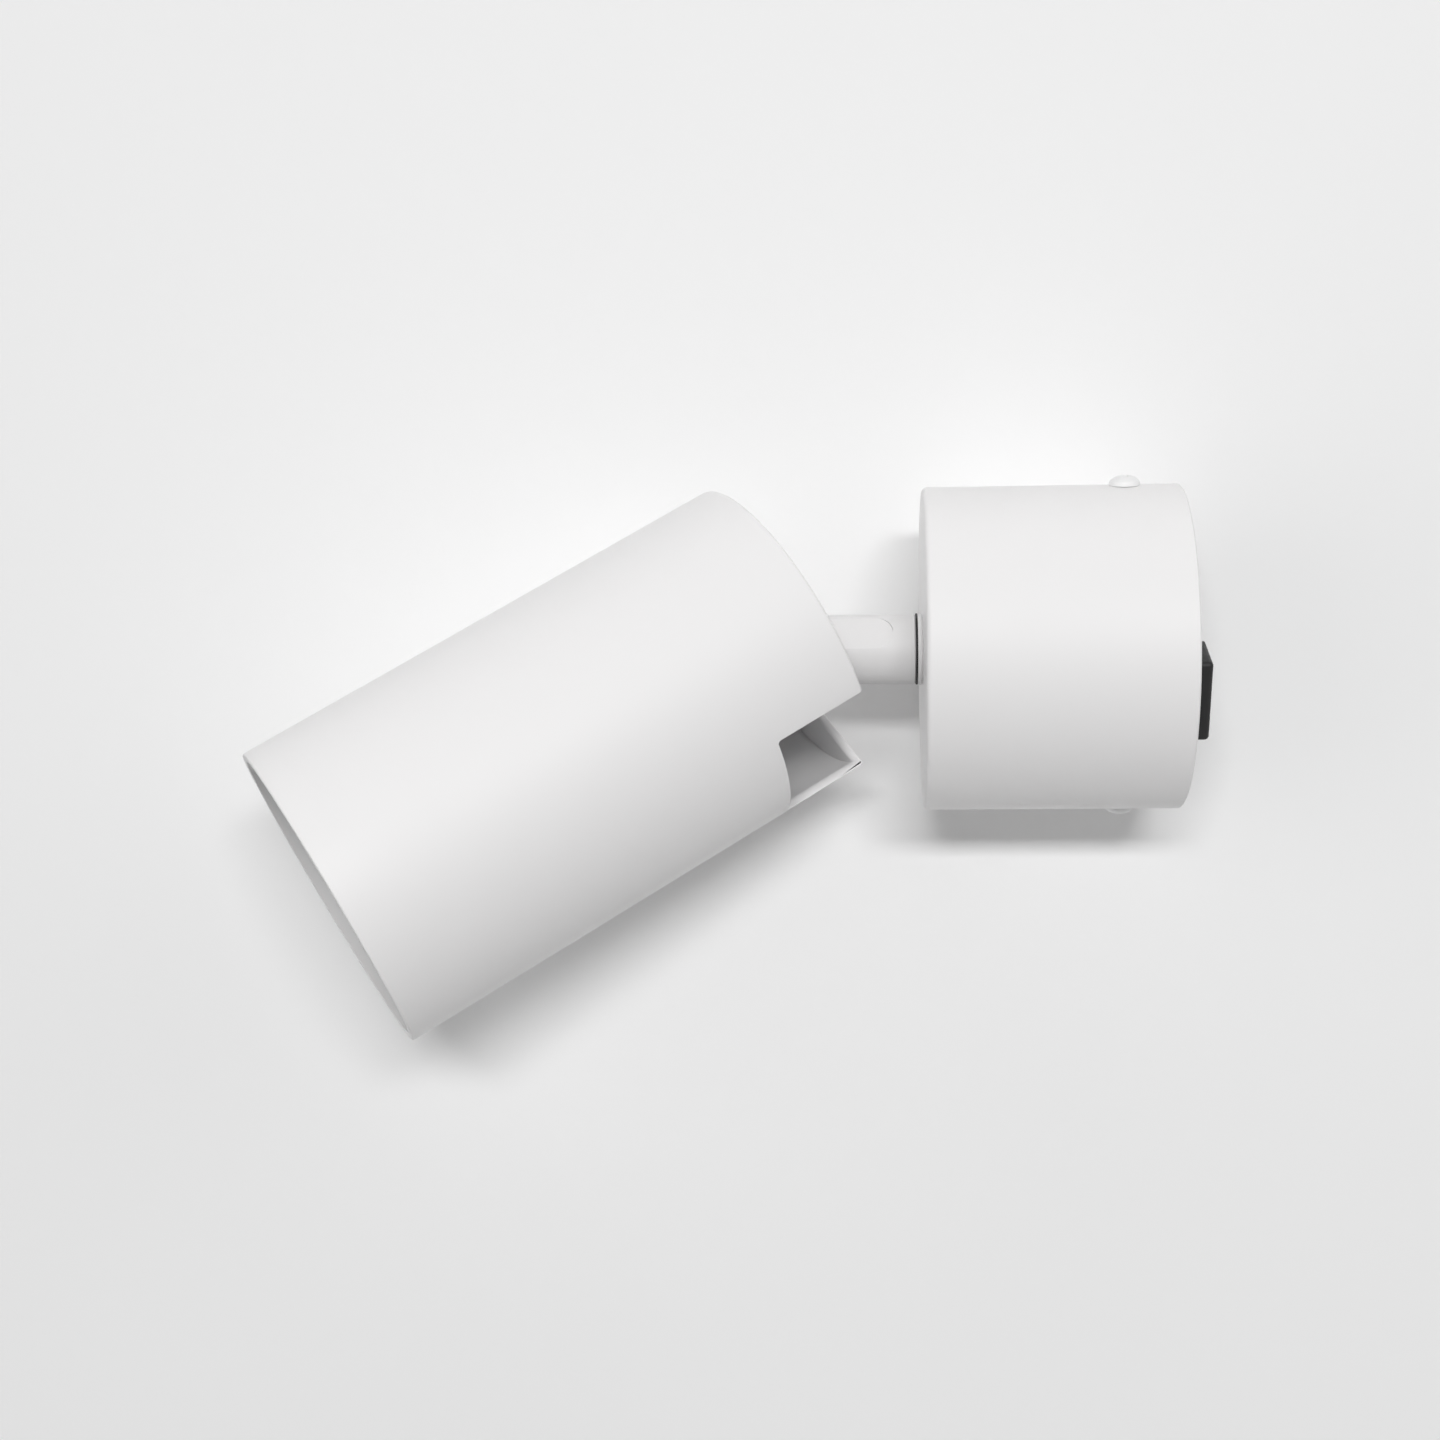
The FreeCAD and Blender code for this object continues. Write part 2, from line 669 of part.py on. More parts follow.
def slip_washer():
    """Plastic washer on the canopy's inner floor."""
    return ring(slip_washer_diameter / 2, spigot_diameter / 2 + slip_clearance,
                canopy_floor_z, stop_washer_z)


def stop_washer():
    """Keyed washer whose tab meets the canopy's lug at each end of the turn."""
    disc = rod(stop_washer_diameter / 2, stop_washer_z, disc_spring_z)
    tab = bar((0, stop_tab_reach), (-stop_tab_width / 2, stop_tab_width / 2),
              (stop_washer_z, disc_spring_z))
    hole = rod(spigot_diameter / 2 + slip_clearance, stop_washer_z - 1, disc_spring_z + 1)
    key = bar((-spigot_diameter, spigot_diameter),
              (-spigot_key_width / 2 - thread_clearance, spigot_key_width / 2 + thread_clearance),
              (stop_washer_z - 1, disc_spring_z + 1))
    return on_swivel(joined([disc, tab]).cut(hole.common(key)))


def disc_spring():
    """Conical spring washer that keeps the friction steady."""
    inner = spigot_diameter / 2 + through_clearance
    outer = disc_spring_diameter / 2
    top = disc_spring_z + disc_spring_height
    return turned([(inner, top - disc_spring_thickness), (outer, disc_spring_z),
                   (outer, disc_spring_z + disc_spring_thickness), (inner, top)])


def hex_nut(flats, height, bore_radius):
    """A hexagon nut from z = 0 up, with its upper corners turned off."""
    corner = flats / math.sqrt(3)
    bevel = (corner - flats / 2) * math.tan(math.radians(30))
    blank = turned([(0, 0), (corner, 0), (corner, height - bevel), (flats / 2, height), (0, height)])
    return hexagon(flats, 0, height).common(blank).cut(rod(bore_radius, -1, height + 1))


def stem_nut():
    """Nut that draws the stem up against the canopy."""
    nut = hex_nut(stem_nut_flats, stem_nut_height, spigot_diameter / 2 + thread_clearance)
    return on_swivel(moved(nut, z=stem_nut_z))


# ---- head group, drawn with the pivot at the origin ------------------------------------------------
def boss_places(shape):
    """Copies of a piece drawn on +X at the three screw bosses."""
    one = moved(shape, x=bulkhead_screw_circle)
    return [spun(one, Z_AXIS, angle) for angle in boss_angles]


def rear_slot():
    """Cutter for the side notch and the slot in the end wall that the stem swings through."""
    half = notch_width / 2
    floor = head_rear_overhang - notch_depth
    top = head_rear_overhang + head_wall
    notch = bar((0, head_diameter), (-half, half), (floor, top))
    notch = rounded(notch, notch_corner_radius, lambda edge: edge.BoundBox.XLength > head_radius
                    and abs(edge.BoundBox.ZMax - floor) < 1e-4)
    slot = bar((-stem_radius - slot_end_gap, head_radius), (-half, half), (0, top))
    slot = rounded(slot, slot_end_radius, lambda edge: upright(edge) and edge.BoundBox.XMax < 0)
    return joined([notch, slot])


def head_tube():
    """Cup with a slotted end wall, the notch beside it and three screw bosses inside."""
    cup = turned([(head_inner_radius, head_front_z), (head_radius, head_front_z),
                  (head_radius, head_rear_overhang), (0, head_rear_overhang),
                  (0, head_end_z), (head_inner_radius, head_end_z)])
    cup = rounded(cup, head_rear_edge_radius, circle_at(head_radius, head_rear_overhang))
    cup = rounded(cup, head_front_edge_radius, circle_at(head_radius, head_front_z))
    bosses = boss_places(rod(boss_radius, bulkhead_z, head_end_z + head_wall / 2))
    holes = boss_places(rod(thread_hole_radius, bulkhead_z - 1, bulkhead_z + bulkhead_screw_length))
    return on_head(without(joined([cup] + bosses), [rear_slot()] + holes))


def bulkhead():
    """Disc that closes the lamp space and carries the knuckle and the lampholder."""
    disc = rod(head_inner_radius - shell_clearance, bulkhead_front_z, bulkhead_z)
    low = bulkhead_front_z - 1
    high = bulkhead_z + 1
    cuts = [moved(rod(lead_bore / 2 + grommet_wall + thread_clearance, low, high), x=grommet_x)]
    cuts += boss_places(rod(through_hole_radius, low, high))
    for side in (-1, 1):
        cuts.append(moved(rod(thread_hole_radius, low, high), y=side * fork_screw_y))
        cuts.append(moved(rod(thread_hole_radius, low, high), x=side * holder_screw_offset))
    return on_head(without(disc, cuts))


def bulkhead_screws():
    """Three screws that hold the bulkhead to the cup's bosses."""
    piece = screw(small_screw_diameter, bulkhead_screw_length, small_head_diameter, small_head_height)
    piece = moved(spun(piece, X_AXIS, 180), z=bulkhead_front_z)
    return on_head(Part.makeCompound(boss_places(piece)))


def knuckle_fork():
    """Fork whose two cheeks hold the pivot, on a base screwed to the bulkhead."""
    base = bar((-stem_radius, stem_radius), (-fork_base_y, fork_base_y), (bulkhead_z, fork_floor_z))
    base = rounded(base, bracket_corner_radius, upright)
    parts = [base]
    for side in (-1, 1):
        low_y = min(side * cheek_inner_y, side * cheek_outer_y)
        parts.append(bar((-stem_radius, stem_radius), (low_y, low_y + cheek_thickness),
                         (bulkhead_z, 0)))
        parts.append(Part.makeCylinder(stem_radius, cheek_thickness, Vec(0, low_y, 0), Y_AXIS))
    span = 2 * cheek_outer_y + 2
    cuts = [Part.makeCylinder(pivot_diameter / 2 + thread_clearance, span, Vec(0, -span / 2, 0), Y_AXIS)]
    cuts.append(stop_pin_at_rest(stop_pin_diameter / 2 + thread_clearance, span))
    for side in (-1, 1):
        cuts.append(moved(rod(through_hole_radius, bulkhead_z - 1, fork_floor_z + 1),
                          y=side * fork_screw_y))
        cuts.append(moved(rod(small_head_radius, fork_floor_z, 0), x=0, y=side * fork_screw_y))
    return on_head(without(joined(parts), cuts))


def stop_pin_at_rest(radius, length):
    """A bar across the fork where the stop pin sits."""
    angle = math.radians(-90 - tilt_travel / 2)
    place = Vec(stop_pin_circle * math.cos(angle), -length / 2, stop_pin_circle * math.sin(angle))
    return Part.makeCylinder(radius, length, place, Y_AXIS)


def tilt_stop_pin():
    """Pin that meets the ends of the stem's limit groove."""
    return on_head(stop_pin_at_rest(stop_pin_diameter / 2, 2 * cheek_outer_y))


def fork_screws():
    """Two screws that hold the fork to the bulkhead."""
    piece = screw(small_screw_diameter, fork_base_thickness + bulkhead_thickness,
                  small_head_diameter, small_head_height)
    pair = [moved(piece, y=side * fork_screw_y, z=fork_floor_z) for side in (-1, 1)]
    return on_head(Part.makeCompound(pair))


def friction_washers():
    """Plastic washers between the cheeks and the stem's flats."""
    washer = ring(friction_washer_diameter / 2, pivot_diameter / 2 + slip_clearance,
                  0, friction_washer_thickness)
    washer = moved(spun(washer, X_AXIS, -90), y=stem_flat_width / 2)
    return on_head(Part.makeCompound([washer, spun(washer, Z_AXIS, 180)]))


def pivot_screw():
    """Screw that the head tilts on."""
    reach = cheek_outer_y + pivot_washer_thickness
    length = 2 * reach + pivot_nut_height + pivot_nut_collar
    piece = screw(pivot_diameter, length, pivot_head_diameter, pivot_head_height)
    return on_head(moved(spun(piece, X_AXIS, 90), y=-reach))


def pivot_washers():
    """Steel washers under the pivot's head and nut."""
    washer = ring(pivot_washer_diameter / 2, pivot_diameter / 2 + slip_clearance,
                  0, pivot_washer_thickness)
    washer = moved(spun(washer, X_AXIS, -90), y=cheek_outer_y)
    return on_head(Part.makeCompound([washer, spun(washer, Z_AXIS, 180)]))


def pivot_nut():
    """Locking nut with a round collar that grips the thread."""
    bore = pivot_diameter / 2 + thread_clearance
    nut = hex_nut(pivot_nut_flats, pivot_nut_height, bore)
    collar = ring(pivot_nut_flats / 2 - pivot_nut_collar / 2, bore, pivot_nut_height - pivot_nut_collar,
                  pivot_nut_height + pivot_nut_collar / 2)
    nut = joined([nut, collar])
    return on_head(moved(spun(nut, X_AXIS, -90), y=cheek_outer_y + pivot_washer_thickness))


def lead_grommet():
    """Rubber grommet where the leads pass through the bulkhead."""
    bore = lead_bore / 2
    waist = bore + grommet_wall
    low = bulkhead_front_z - grommet_flange_thickness
    high = bulkhead_z + grommet_flange_thickness
    grommet = turned([(bore, low), (grommet_flange_radius, low), (grommet_flange_radius, bulkhead_front_z),
                      (waist, bulkhead_front_z), (waist, bulkhead_z), (grommet_flange_radius, bulkhead_z),
                      (grommet_flange_radius, high), (bore, high)])
    return on_head(moved(grommet, x=grommet_x))


# ---- lampholder and lamp --------------------------------------------------------------------------
def pin_places():
    """The two pins' angles round the lamp's axis."""
    return [90, 270]


def lampholder():
    """Ceramic twist-lock holder with two curved pockets."""
    body = rod(holder_diameter / 2, holder_face_z, bulkhead_front_z)
    flats = bar((-holder_diameter, holder_diameter), (-holder_width / 2, holder_width / 2),
                (holder_face_z, bulkhead_front_z))
    body = body.common(flats)
    cuts = []
    face_inner_z = holder_face_z + holder_face_thickness
    pocket_z = holder_face_z + holder_pocket_depth
    head_width = pin_head_diameter + 2 * side_clearance
    neck_width = pin_neck_diameter + 2 * side_clearance
    circle = pin_spacing / 2
    for angle in pin_places():
        first = angle - holder_twist
        entry = moved(rod(head_width / 2, holder_face_z - 1, face_inner_z + 1), x=circle)
        cuts.append(spun(entry, Z_AXIS, first))
        cuts.append(arc_slot(circle, neck_width, first, angle, holder_face_z - 1, face_inner_z + 1))
        cuts.append(arc_slot(circle, head_width, first, angle, face_inner_z, pocket_z))
    for side in (-1, 1):
        x = side * holder_screw_offset
        cuts.append(moved(rod(through_hole_radius, holder_face_z - 1, bulkhead_front_z + 1), x=x))
        cuts.append(moved(rod(small_head_radius + through_clearance, holder_face_z - 1,
                              holder_face_z + holder_height / 2), x=x))
    return on_head(without(body, cuts))


def lampholder_contacts():
    """Spring contacts at the bottom of the pockets."""
    pocket_z = holder_face_z + holder_pocket_depth
    contacts = []
    for angle in pin_places():
        piece = bar((pin_spacing / 2 - contact_width / 2, pin_spacing / 2 + contact_width / 2),
                    (-contact_length / 2, contact_length / 2), (pocket_z - contact_height, pocket_z))
        contacts.append(spun(piece, Z_AXIS, angle))
    return on_head(Part.makeCompound(contacts))


def lampholder_screws():
    """Two screws that hold the lampholder to the bulkhead."""
    length = holder_height / 2 + bulkhead_thickness
    piece = spun(screw(small_screw_diameter, length, small_head_diameter, small_head_height), X_AXIS, 180)
    seat = holder_face_z + holder_height / 2
    pair = [moved(piece, x=side * holder_screw_offset, z=seat) for side in (-1, 1)]
    return on_head(Part.makeCompound(pair))


def lamp_body():
    """Reflector lamp: base, flared body and front lip."""
    base = lamp_base_diameter / 2
    lip = lamp_diameter / 2
    base_end = holder_face_z - lamp_base_length
    flare_end = lamp_front_z + lamp_lip_height
    flare_middle = (base_end + flare_end) / 2
    recess = lip - lamp_lip_width
    bulge = base + (lip - base) * recess_share
    outline = [Part.makeLine(Vec(0, 0, holder_face_z), Vec(base, 0, holder_face_z)),
               Part.makeLine(Vec(base, 0, holder_face_z), Vec(base, 0, base_end)),
               arc(Vec(base, 0, base_end), Vec(bulge, 0, flare_middle), Vec(lip, 0, flare_end)),
               Part.makeLine(Vec(lip, 0, flare_end), Vec(lip, 0, lamp_front_z)),
               Part.makeLine(Vec(lip, 0, lamp_front_z), Vec(recess, 0, lamp_front_z)),
               Part.makeLine(Vec(recess, 0, lamp_front_z), Vec(recess, 0, lamp_front_z + lens_recess)),
               Part.makeLine(Vec(recess, 0, lamp_front_z + lens_recess),
                             Vec(0, 0, lamp_front_z + lens_recess)),
               Part.makeLine(Vec(0, 0, lamp_front_z + lens_recess), Vec(0, 0, holder_face_z))]
    return on_head(Part.Face(Part.Wire(outline)).revolve(ORIGIN, Z_AXIS, 360))


def lamp_lens():
    """Front lens of the lamp, in its recess."""
    top = lamp_front_z + lens_recess
    return on_head(rod(lamp_diameter / 2 - lamp_lip_width - slip_clearance, top - lens_thickness, top))


def lamp_pins():
    """The lamp's two headed contact pins, locked in the holder."""
    pins = []
    for angle in pin_places():
        neck = rod(pin_neck_diameter / 2, holder_face_z, holder_face_z + pin_length)
        head = rod(pin_head_diameter / 2, holder_face_z + pin_neck_length, holder_face_z + pin_length)
        pins.append(spun(moved(joined([neck, head]), x=pin_spacing / 2), Z_AXIS, angle))
    return on_head(Part.makeCompound(pins))


# ---- front baffle -----------------------------------------------------------------------------------
def baffle_ring():
    """Stepped anti-glare ring that holds the lamp and pulls out at the front."""
    mouth = baffle_radius - baffle_front_wall
    throat = baffle_radius - baffle_width
    step_width = (mouth - throat) / baffle_steps
    step_height = (lamp_front_z - baffle_front_z) / (baffle_steps + 1)
    stairs = [(throat, lamp_front_z)]
    for step in range(1, baffle_steps + 1):
        z = lamp_front_z - step * step_height
        stairs.append((throat + (step - 1) * step_width, z))
        stairs.append((throat + step * step_width, z))
    stairs.append((mouth, baffle_front_z))
    outside = [(baffle_radius, baffle_front_z), (baffle_radius, lamp_front_z)]
    ring_body = turned(stairs + outside)
    groove_z = lamp_front_z - o_ring_from_back
    groove = ring(baffle_radius + 1, baffle_radius - o_ring_thickness,
                  groove_z - o_ring_thickness / 2, groove_z + o_ring_thickness / 2)
    return on_head(ring_body.cut(groove))


def baffle_o_ring():
    """Rubber ring that grips the tube."""
    path = baffle_radius - o_ring_thickness / 2
    centre = Vec(0, 0, lamp_front_z - o_ring_from_back)
    return on_head(Part.makeTorus(path, o_ring_thickness / 2 - thread_clearance, centre, Z_AXIS))


PIECES = {
    "canopy_shell": canopy_shell,
    "ceiling_bracket": ceiling_bracket,
    "canopy_screws": canopy_screws,
    "cable_bushing": cable_bushing,
    "earth_screw": earth_screw,
    "earth_washer": earth_washer,
    "terminal_block": lambda: on_terminal(terminal_block()),
    "terminal_sleeves": lambda: on_terminal(terminal_sleeves()),
    "terminal_screws": lambda: on_terminal(terminal_screws()),
    "terminal_fixing_screw": lambda: on_terminal(terminal_fixing_screw()),
    "collar_washer": collar_washer,
    "slip_washer": slip_washer,
    "swivel_stem": swivel_stem,
    "friction_ring": friction_ring,
    "stop_washer": stop_washer,
    "disc_spring": disc_spring,
    "stem_nut": stem_nut,
    "head_tube": head_tube,
    "bulkhead": bulkhead,
    "bulkhead_screws": bulkhead_screws,
    "knuckle_fork": knuckle_fork,
    "tilt_stop_pin": tilt_stop_pin,
    "fork_screws": fork_screws,
    "friction_washers": friction_washers,
    "pivot_screw": pivot_screw,
    "pivot_washers": pivot_washers,
    "pivot_nut": pivot_nut,
    "lead_grommet": lead_grommet,
    "lampholder": lampholder,
    "lampholder_contacts": lampholder_contacts,
    "lampholder_screws": lampholder_screws,
    "lamp_body": lamp_body,
    "lamp_lens": lamp_lens,
    "lamp_pins": lamp_pins,
    "baffle_ring": baffle_ring,
    "baffle_o_ring": baffle_o_ring,
}


def main():
    """Build every piece and write it as its own STEP file."""
    os.makedirs("parts", exist_ok=True)
    for name, build in PIECES.items():
        shape = build()
        if not shape.isValid():
            raise ValueError(name + " is not a valid shape")
        shape.exportStep("parts/" + name + ".step")
        print(name, len(shape.Solids), round(shape.Volume, 1))


main()
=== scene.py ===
"""Ceiling spotlight: finishes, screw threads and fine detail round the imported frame.

Forms are drawn in millimetres and brought to metres when they are settled in place.
"""
import json
import math

import bmesh
import bpy
from bpy.props import FloatProperty, FloatVectorProperty, IntProperty, PointerProperty
from mathutils import Matrix, Vector

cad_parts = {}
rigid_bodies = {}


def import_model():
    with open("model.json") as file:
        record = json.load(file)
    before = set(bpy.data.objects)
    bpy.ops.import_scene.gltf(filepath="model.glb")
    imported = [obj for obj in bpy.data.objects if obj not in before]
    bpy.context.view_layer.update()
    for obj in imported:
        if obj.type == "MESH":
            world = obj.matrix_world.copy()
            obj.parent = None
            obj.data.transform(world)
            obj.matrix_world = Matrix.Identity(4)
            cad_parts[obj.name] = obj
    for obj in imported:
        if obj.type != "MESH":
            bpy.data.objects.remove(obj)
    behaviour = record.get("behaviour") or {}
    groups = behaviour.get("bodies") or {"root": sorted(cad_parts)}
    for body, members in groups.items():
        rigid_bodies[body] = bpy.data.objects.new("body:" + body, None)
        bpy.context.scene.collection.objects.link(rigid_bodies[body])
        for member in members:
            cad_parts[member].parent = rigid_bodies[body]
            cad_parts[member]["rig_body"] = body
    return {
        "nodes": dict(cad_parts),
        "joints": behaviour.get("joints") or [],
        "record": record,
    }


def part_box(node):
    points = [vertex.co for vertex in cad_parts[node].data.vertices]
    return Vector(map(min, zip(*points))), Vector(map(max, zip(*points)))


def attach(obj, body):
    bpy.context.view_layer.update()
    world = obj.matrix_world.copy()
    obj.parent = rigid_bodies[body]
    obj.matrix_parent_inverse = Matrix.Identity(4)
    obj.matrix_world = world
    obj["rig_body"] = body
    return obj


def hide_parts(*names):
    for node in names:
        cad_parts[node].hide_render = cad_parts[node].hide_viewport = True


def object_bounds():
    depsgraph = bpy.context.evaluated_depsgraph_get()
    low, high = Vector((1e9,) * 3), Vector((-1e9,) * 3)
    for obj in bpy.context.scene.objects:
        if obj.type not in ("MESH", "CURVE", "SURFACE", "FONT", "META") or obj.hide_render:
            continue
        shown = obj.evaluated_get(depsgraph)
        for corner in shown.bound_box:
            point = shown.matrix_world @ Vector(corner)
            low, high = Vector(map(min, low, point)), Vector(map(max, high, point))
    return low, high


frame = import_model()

cad_box = [list(corner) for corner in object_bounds()]

bl_info = {
    "name": "Ceiling Spotlight",
    "version": (1, 0, 0),
    "blender": (4, 5, 0),
    "location": "View3D > Sidebar > Spotlight",
    "description": "Finishes and fine detail for a surface mounted ceiling spotlight",
    "category": "Object",
}

MM = 0.001
NODES = frame["nodes"]
SLOTS = {part["node"]: part["material_slot"] for part in frame["record"]["subparts"]}
TILT = [joint for joint in frame["joints"] if joint["name"] == "head_tilt"][0]

# ---- where pieces sit, in mm and degrees --------------------------------------------------
# a head piece is tilted, turned to the resting lean and hung on the pivot
LEAN = Matrix.Rotation(math.atan2(TILT["axis"][0], -TILT["axis"][1]), 4, "Z")
HEAD = (Matrix.Translation(Vector(TILT["pos_m"]) / MM) @ LEAN
        @ Matrix.Rotation(math.radians(TILT["range_deg"][0]), 4, "Y"))

# the terminal block: its back, its turn about the vertical, and its middle from its back
BLOCK_BACK = (6.2, -12.35, 0)
BLOCK_TURN = 25
BLOCK_MIDDLE = (0, -5.25, -6.2)
BLOCK = (Matrix.Translation(BLOCK_BACK) @ Matrix.Rotation(math.radians(BLOCK_TURN), 4, "Z")
         @ Matrix.Translation(BLOCK_MIDDLE))

# seats under the screws' heads
SIDE_SCREW_SEAT = (30, 0, -10.2)
SIDE_SCREW_TURN = 13
EARTH_SCREW_SEAT = (0, 16.3, -7.25)
BLOCK_SCREW_SEAT = (0, -2.625, 0)
CLAMP_SCREW_TIPS = [(x, -1.5, z) for x in (-4.2, 4.2) for z in (-3.5, 3.5)]
PIVOT_SCREW_SEAT = (0, -9.9, 0)
FORK_SCREW_SEATS = [(0, y, -10) for y in (-12.2, 12.2)]
HOLDER_SCREW_SEATS = [(x, 0, -22.5) for x in (-9.5, 9.5)]

# the bosses in the head and the bulkhead screwed to them
BOSS_ANGLES = (95, 180, 265)
BOSS_REACH = 25
BULKHEAD_REAR = -13
BULKHEAD_FRONT = -15

# turns that bring a screw's head from +Z round to another side
TO_X = Matrix.Rotation(math.pi / 2, 4, "Y")
TO_Y = Matrix.Rotation(-math.pi / 2, 4, "X")
TO_MINUS_Y = Matrix.Rotation(math.pi / 2, 4, "X")
DOWN = Matrix.Rotation(math.pi, 4, "X")
HALF_TURN = Matrix.Rotation(math.pi, 4, "Z")

# ---- screws, in mm ------------------------------------------------------------------------
# thread diameter, length under the head, head diameter and head height
SIDE_SCREW = (3, 5.55, 5.5, 2.0)
EARTH_SCREW = (4, 6, 8, 2.6)
BLOCK_SCREW = (2.2, 9.375, 4, 1.75)
PIVOT_SCREW = (4, 24.8, 8, 2.6)
FORK_SCREW = (3, 5, 5.5, 1.9)
BULKHEAD_SCREW = (3, 8, 5.5, 1.9)
HOLDER_SCREW = (3, 9.5, 5.5, 1.9)

# a domed head from its underside to its top: shares of its radius and of its height
DOME = ((0.96, 0), (1, 0.06), (1, 0.33), (0.965, 0.45), (0.87, 0.6), (0.7, 0.78), (0.45, 0.92),
        (0.2, 0.985), (0, 1))
DOME_HEIGHT = 0.96   # share of the plain head's height, which keeps the dome inside it
CROSS_REACH = 0.62   # share of the head's radius
CROSS_DEPTH = 0.62   # share of the dome's height
CROSS_BLADE = 4.6    # head height over half the width of a blade
RECESS_TAPER = 0.55  # width of a recess at its bottom over that at its top
OVERSHOOT = 0.5      # how far a recess cutter stands out of the head

# one turn of a thread: share of the pitch along it, and whether it is on the crest there
THREAD_TURN = ((0.0, True), (0.12, True), (0.44, False), (0.68, False))
THREAD_DEPTH = 0.6   # share of the pitch
THREAD_STEPS = 32
THREAD_RUN_IN = 0.1  # how far a thread goes into its head
TIP_TAPER = 0.86     # size of a thread's tip over its full size

# ---- tolerances ---------------------------------------------------------------------------
MERGE_TURNED = 1e-4     # mm between corners that a spin left double
MERGE_CUT = 1e-3        # mm between corners that a cut or the frame left double
FLAT_ANGLE = 0.4        # degrees between faces that were one flat face
PLACE_TOLERANCE = 0.5   # mm between a new piece's box and its node's box


def hex_colour(code):
    """Linear red, green and blue of an sRGB hex code."""
    parts = [int(code[i:i + 2], 16) / 255 for i in (0, 2, 4)]
    return tuple(c / 12.92 if c <= 0.04045 else ((c + 0.055) / 1.055) ** 2.4 for c in parts)


def length(label, note, value_mm):
    """A length setting, kept in metres."""
    return FloatProperty(name=label, description=note, default=value_mm * MM, unit="LENGTH",
                         subtype="DISTANCE", precision=6)


def colour(label, note, code):
    """A colour setting."""
    return FloatVectorProperty(name=label, description=note, subtype="COLOR", size=3, min=0,
                               max=1, default=hex_colour(code))


class SpotlightSizes(bpy.types.PropertyGroup):
    """Sizes of the threads, soft edges and surface grain."""
    small_pitch: length("M3 pitch", "Thread pitch of the small screws", 0.5)
    large_pitch: length("M4 pitch", "Thread pitch of the pivot and earth screws", 0.7)
    grub_pitch: length("Clamp pitch", "Thread pitch of the clamp and block screws", 0.45)
    coat_edge: length("Coated edge", "Round of the powder coat over sharp edges", 0.25)
    rim_round: length("Rim round", "Round inside the rim of the head's notch and slot", 1.2)
    metal_edge: length("Metal edge", "Deburred edge of the bare and plated metal", 0.15)
    step_edge: length("Baffle edge", "Soft edge on each step of the baffle", 0.12)
    lens_rings: IntProperty(name="Lens rings", description="Prism rings on the lamp's lens",
                            default=14, min=1)
    lens_relief: length("Lens relief", "Height of each prism ring", 0.22)
    peel: length("Orange peel", "Width of the waves in the powder coat", 1.6)
    peel_height: length("Peel height", "Height of the waves in the powder coat", 0.005)
    table_gap: length("Table gap", "Air between the fitting and the table", 0.2)


class SpotlightColours(bpy.types.PropertyGroup):
    """Colours of the fitting and its surroundings."""
    coat: colour("Powder coat", "Canopy, collar and head", "F3F2F2")
    # the stem's copy of the powder coat, made darker to paint the stem's shade
    stem_shaded_coat: colour("Stem coat", "Stem, the coat darkened as painted shade", "E8E7E7")
    lacquer: colour("Lacquer", "Side screws of the canopy", "F1F1F1")
    zinc: colour("Zinc plate", "Plated screws, nuts and bracket", "C9CDD0")
    stainless: colour("Stainless", "Washers, spring and stop pin", "D6D5D2")
    aluminium: colour("Aluminium", "Machined fork and bulkhead", "E6E7E9")
    brass: colour("Brass", "Terminals, contacts and earth screw", "D0AE66")
    nylon: colour("Nylon", "Terminal block, bushing and running washers", "121213")
    baffle: colour("Baffle", "Anti-glare ring", "161617")
    rubber: colour("Rubber", "Grommet and ring of the baffle", "141415")
    ceramic: colour("Ceramic", "Lampholder", "EDE7DA")
    lamp: colour("Lamp shell", "Body of the lamp", "EEEEEA")
    lens: colour("Lens", "Front of the lamp", "F2F4F4")
    table: colour("Table", "Plain surface behind the fitting", "FBFBFB")


# ---- materials ----------------------------------------------------------------------------
def add_node(tree, kind, inputs=None, **settings):
    """Add a node, set it up, and fill its sockets with values or links."""
    node = tree.nodes.new(kind)
    for name, value in settings.items():
        setattr(node, name, value)
    for name, value in (inputs or {}).items():
        if isinstance(value, bpy.types.NodeSocket):
            tree.links.new(value, node.inputs[name])
        else:
            node.inputs[name].default_value = value
    return node


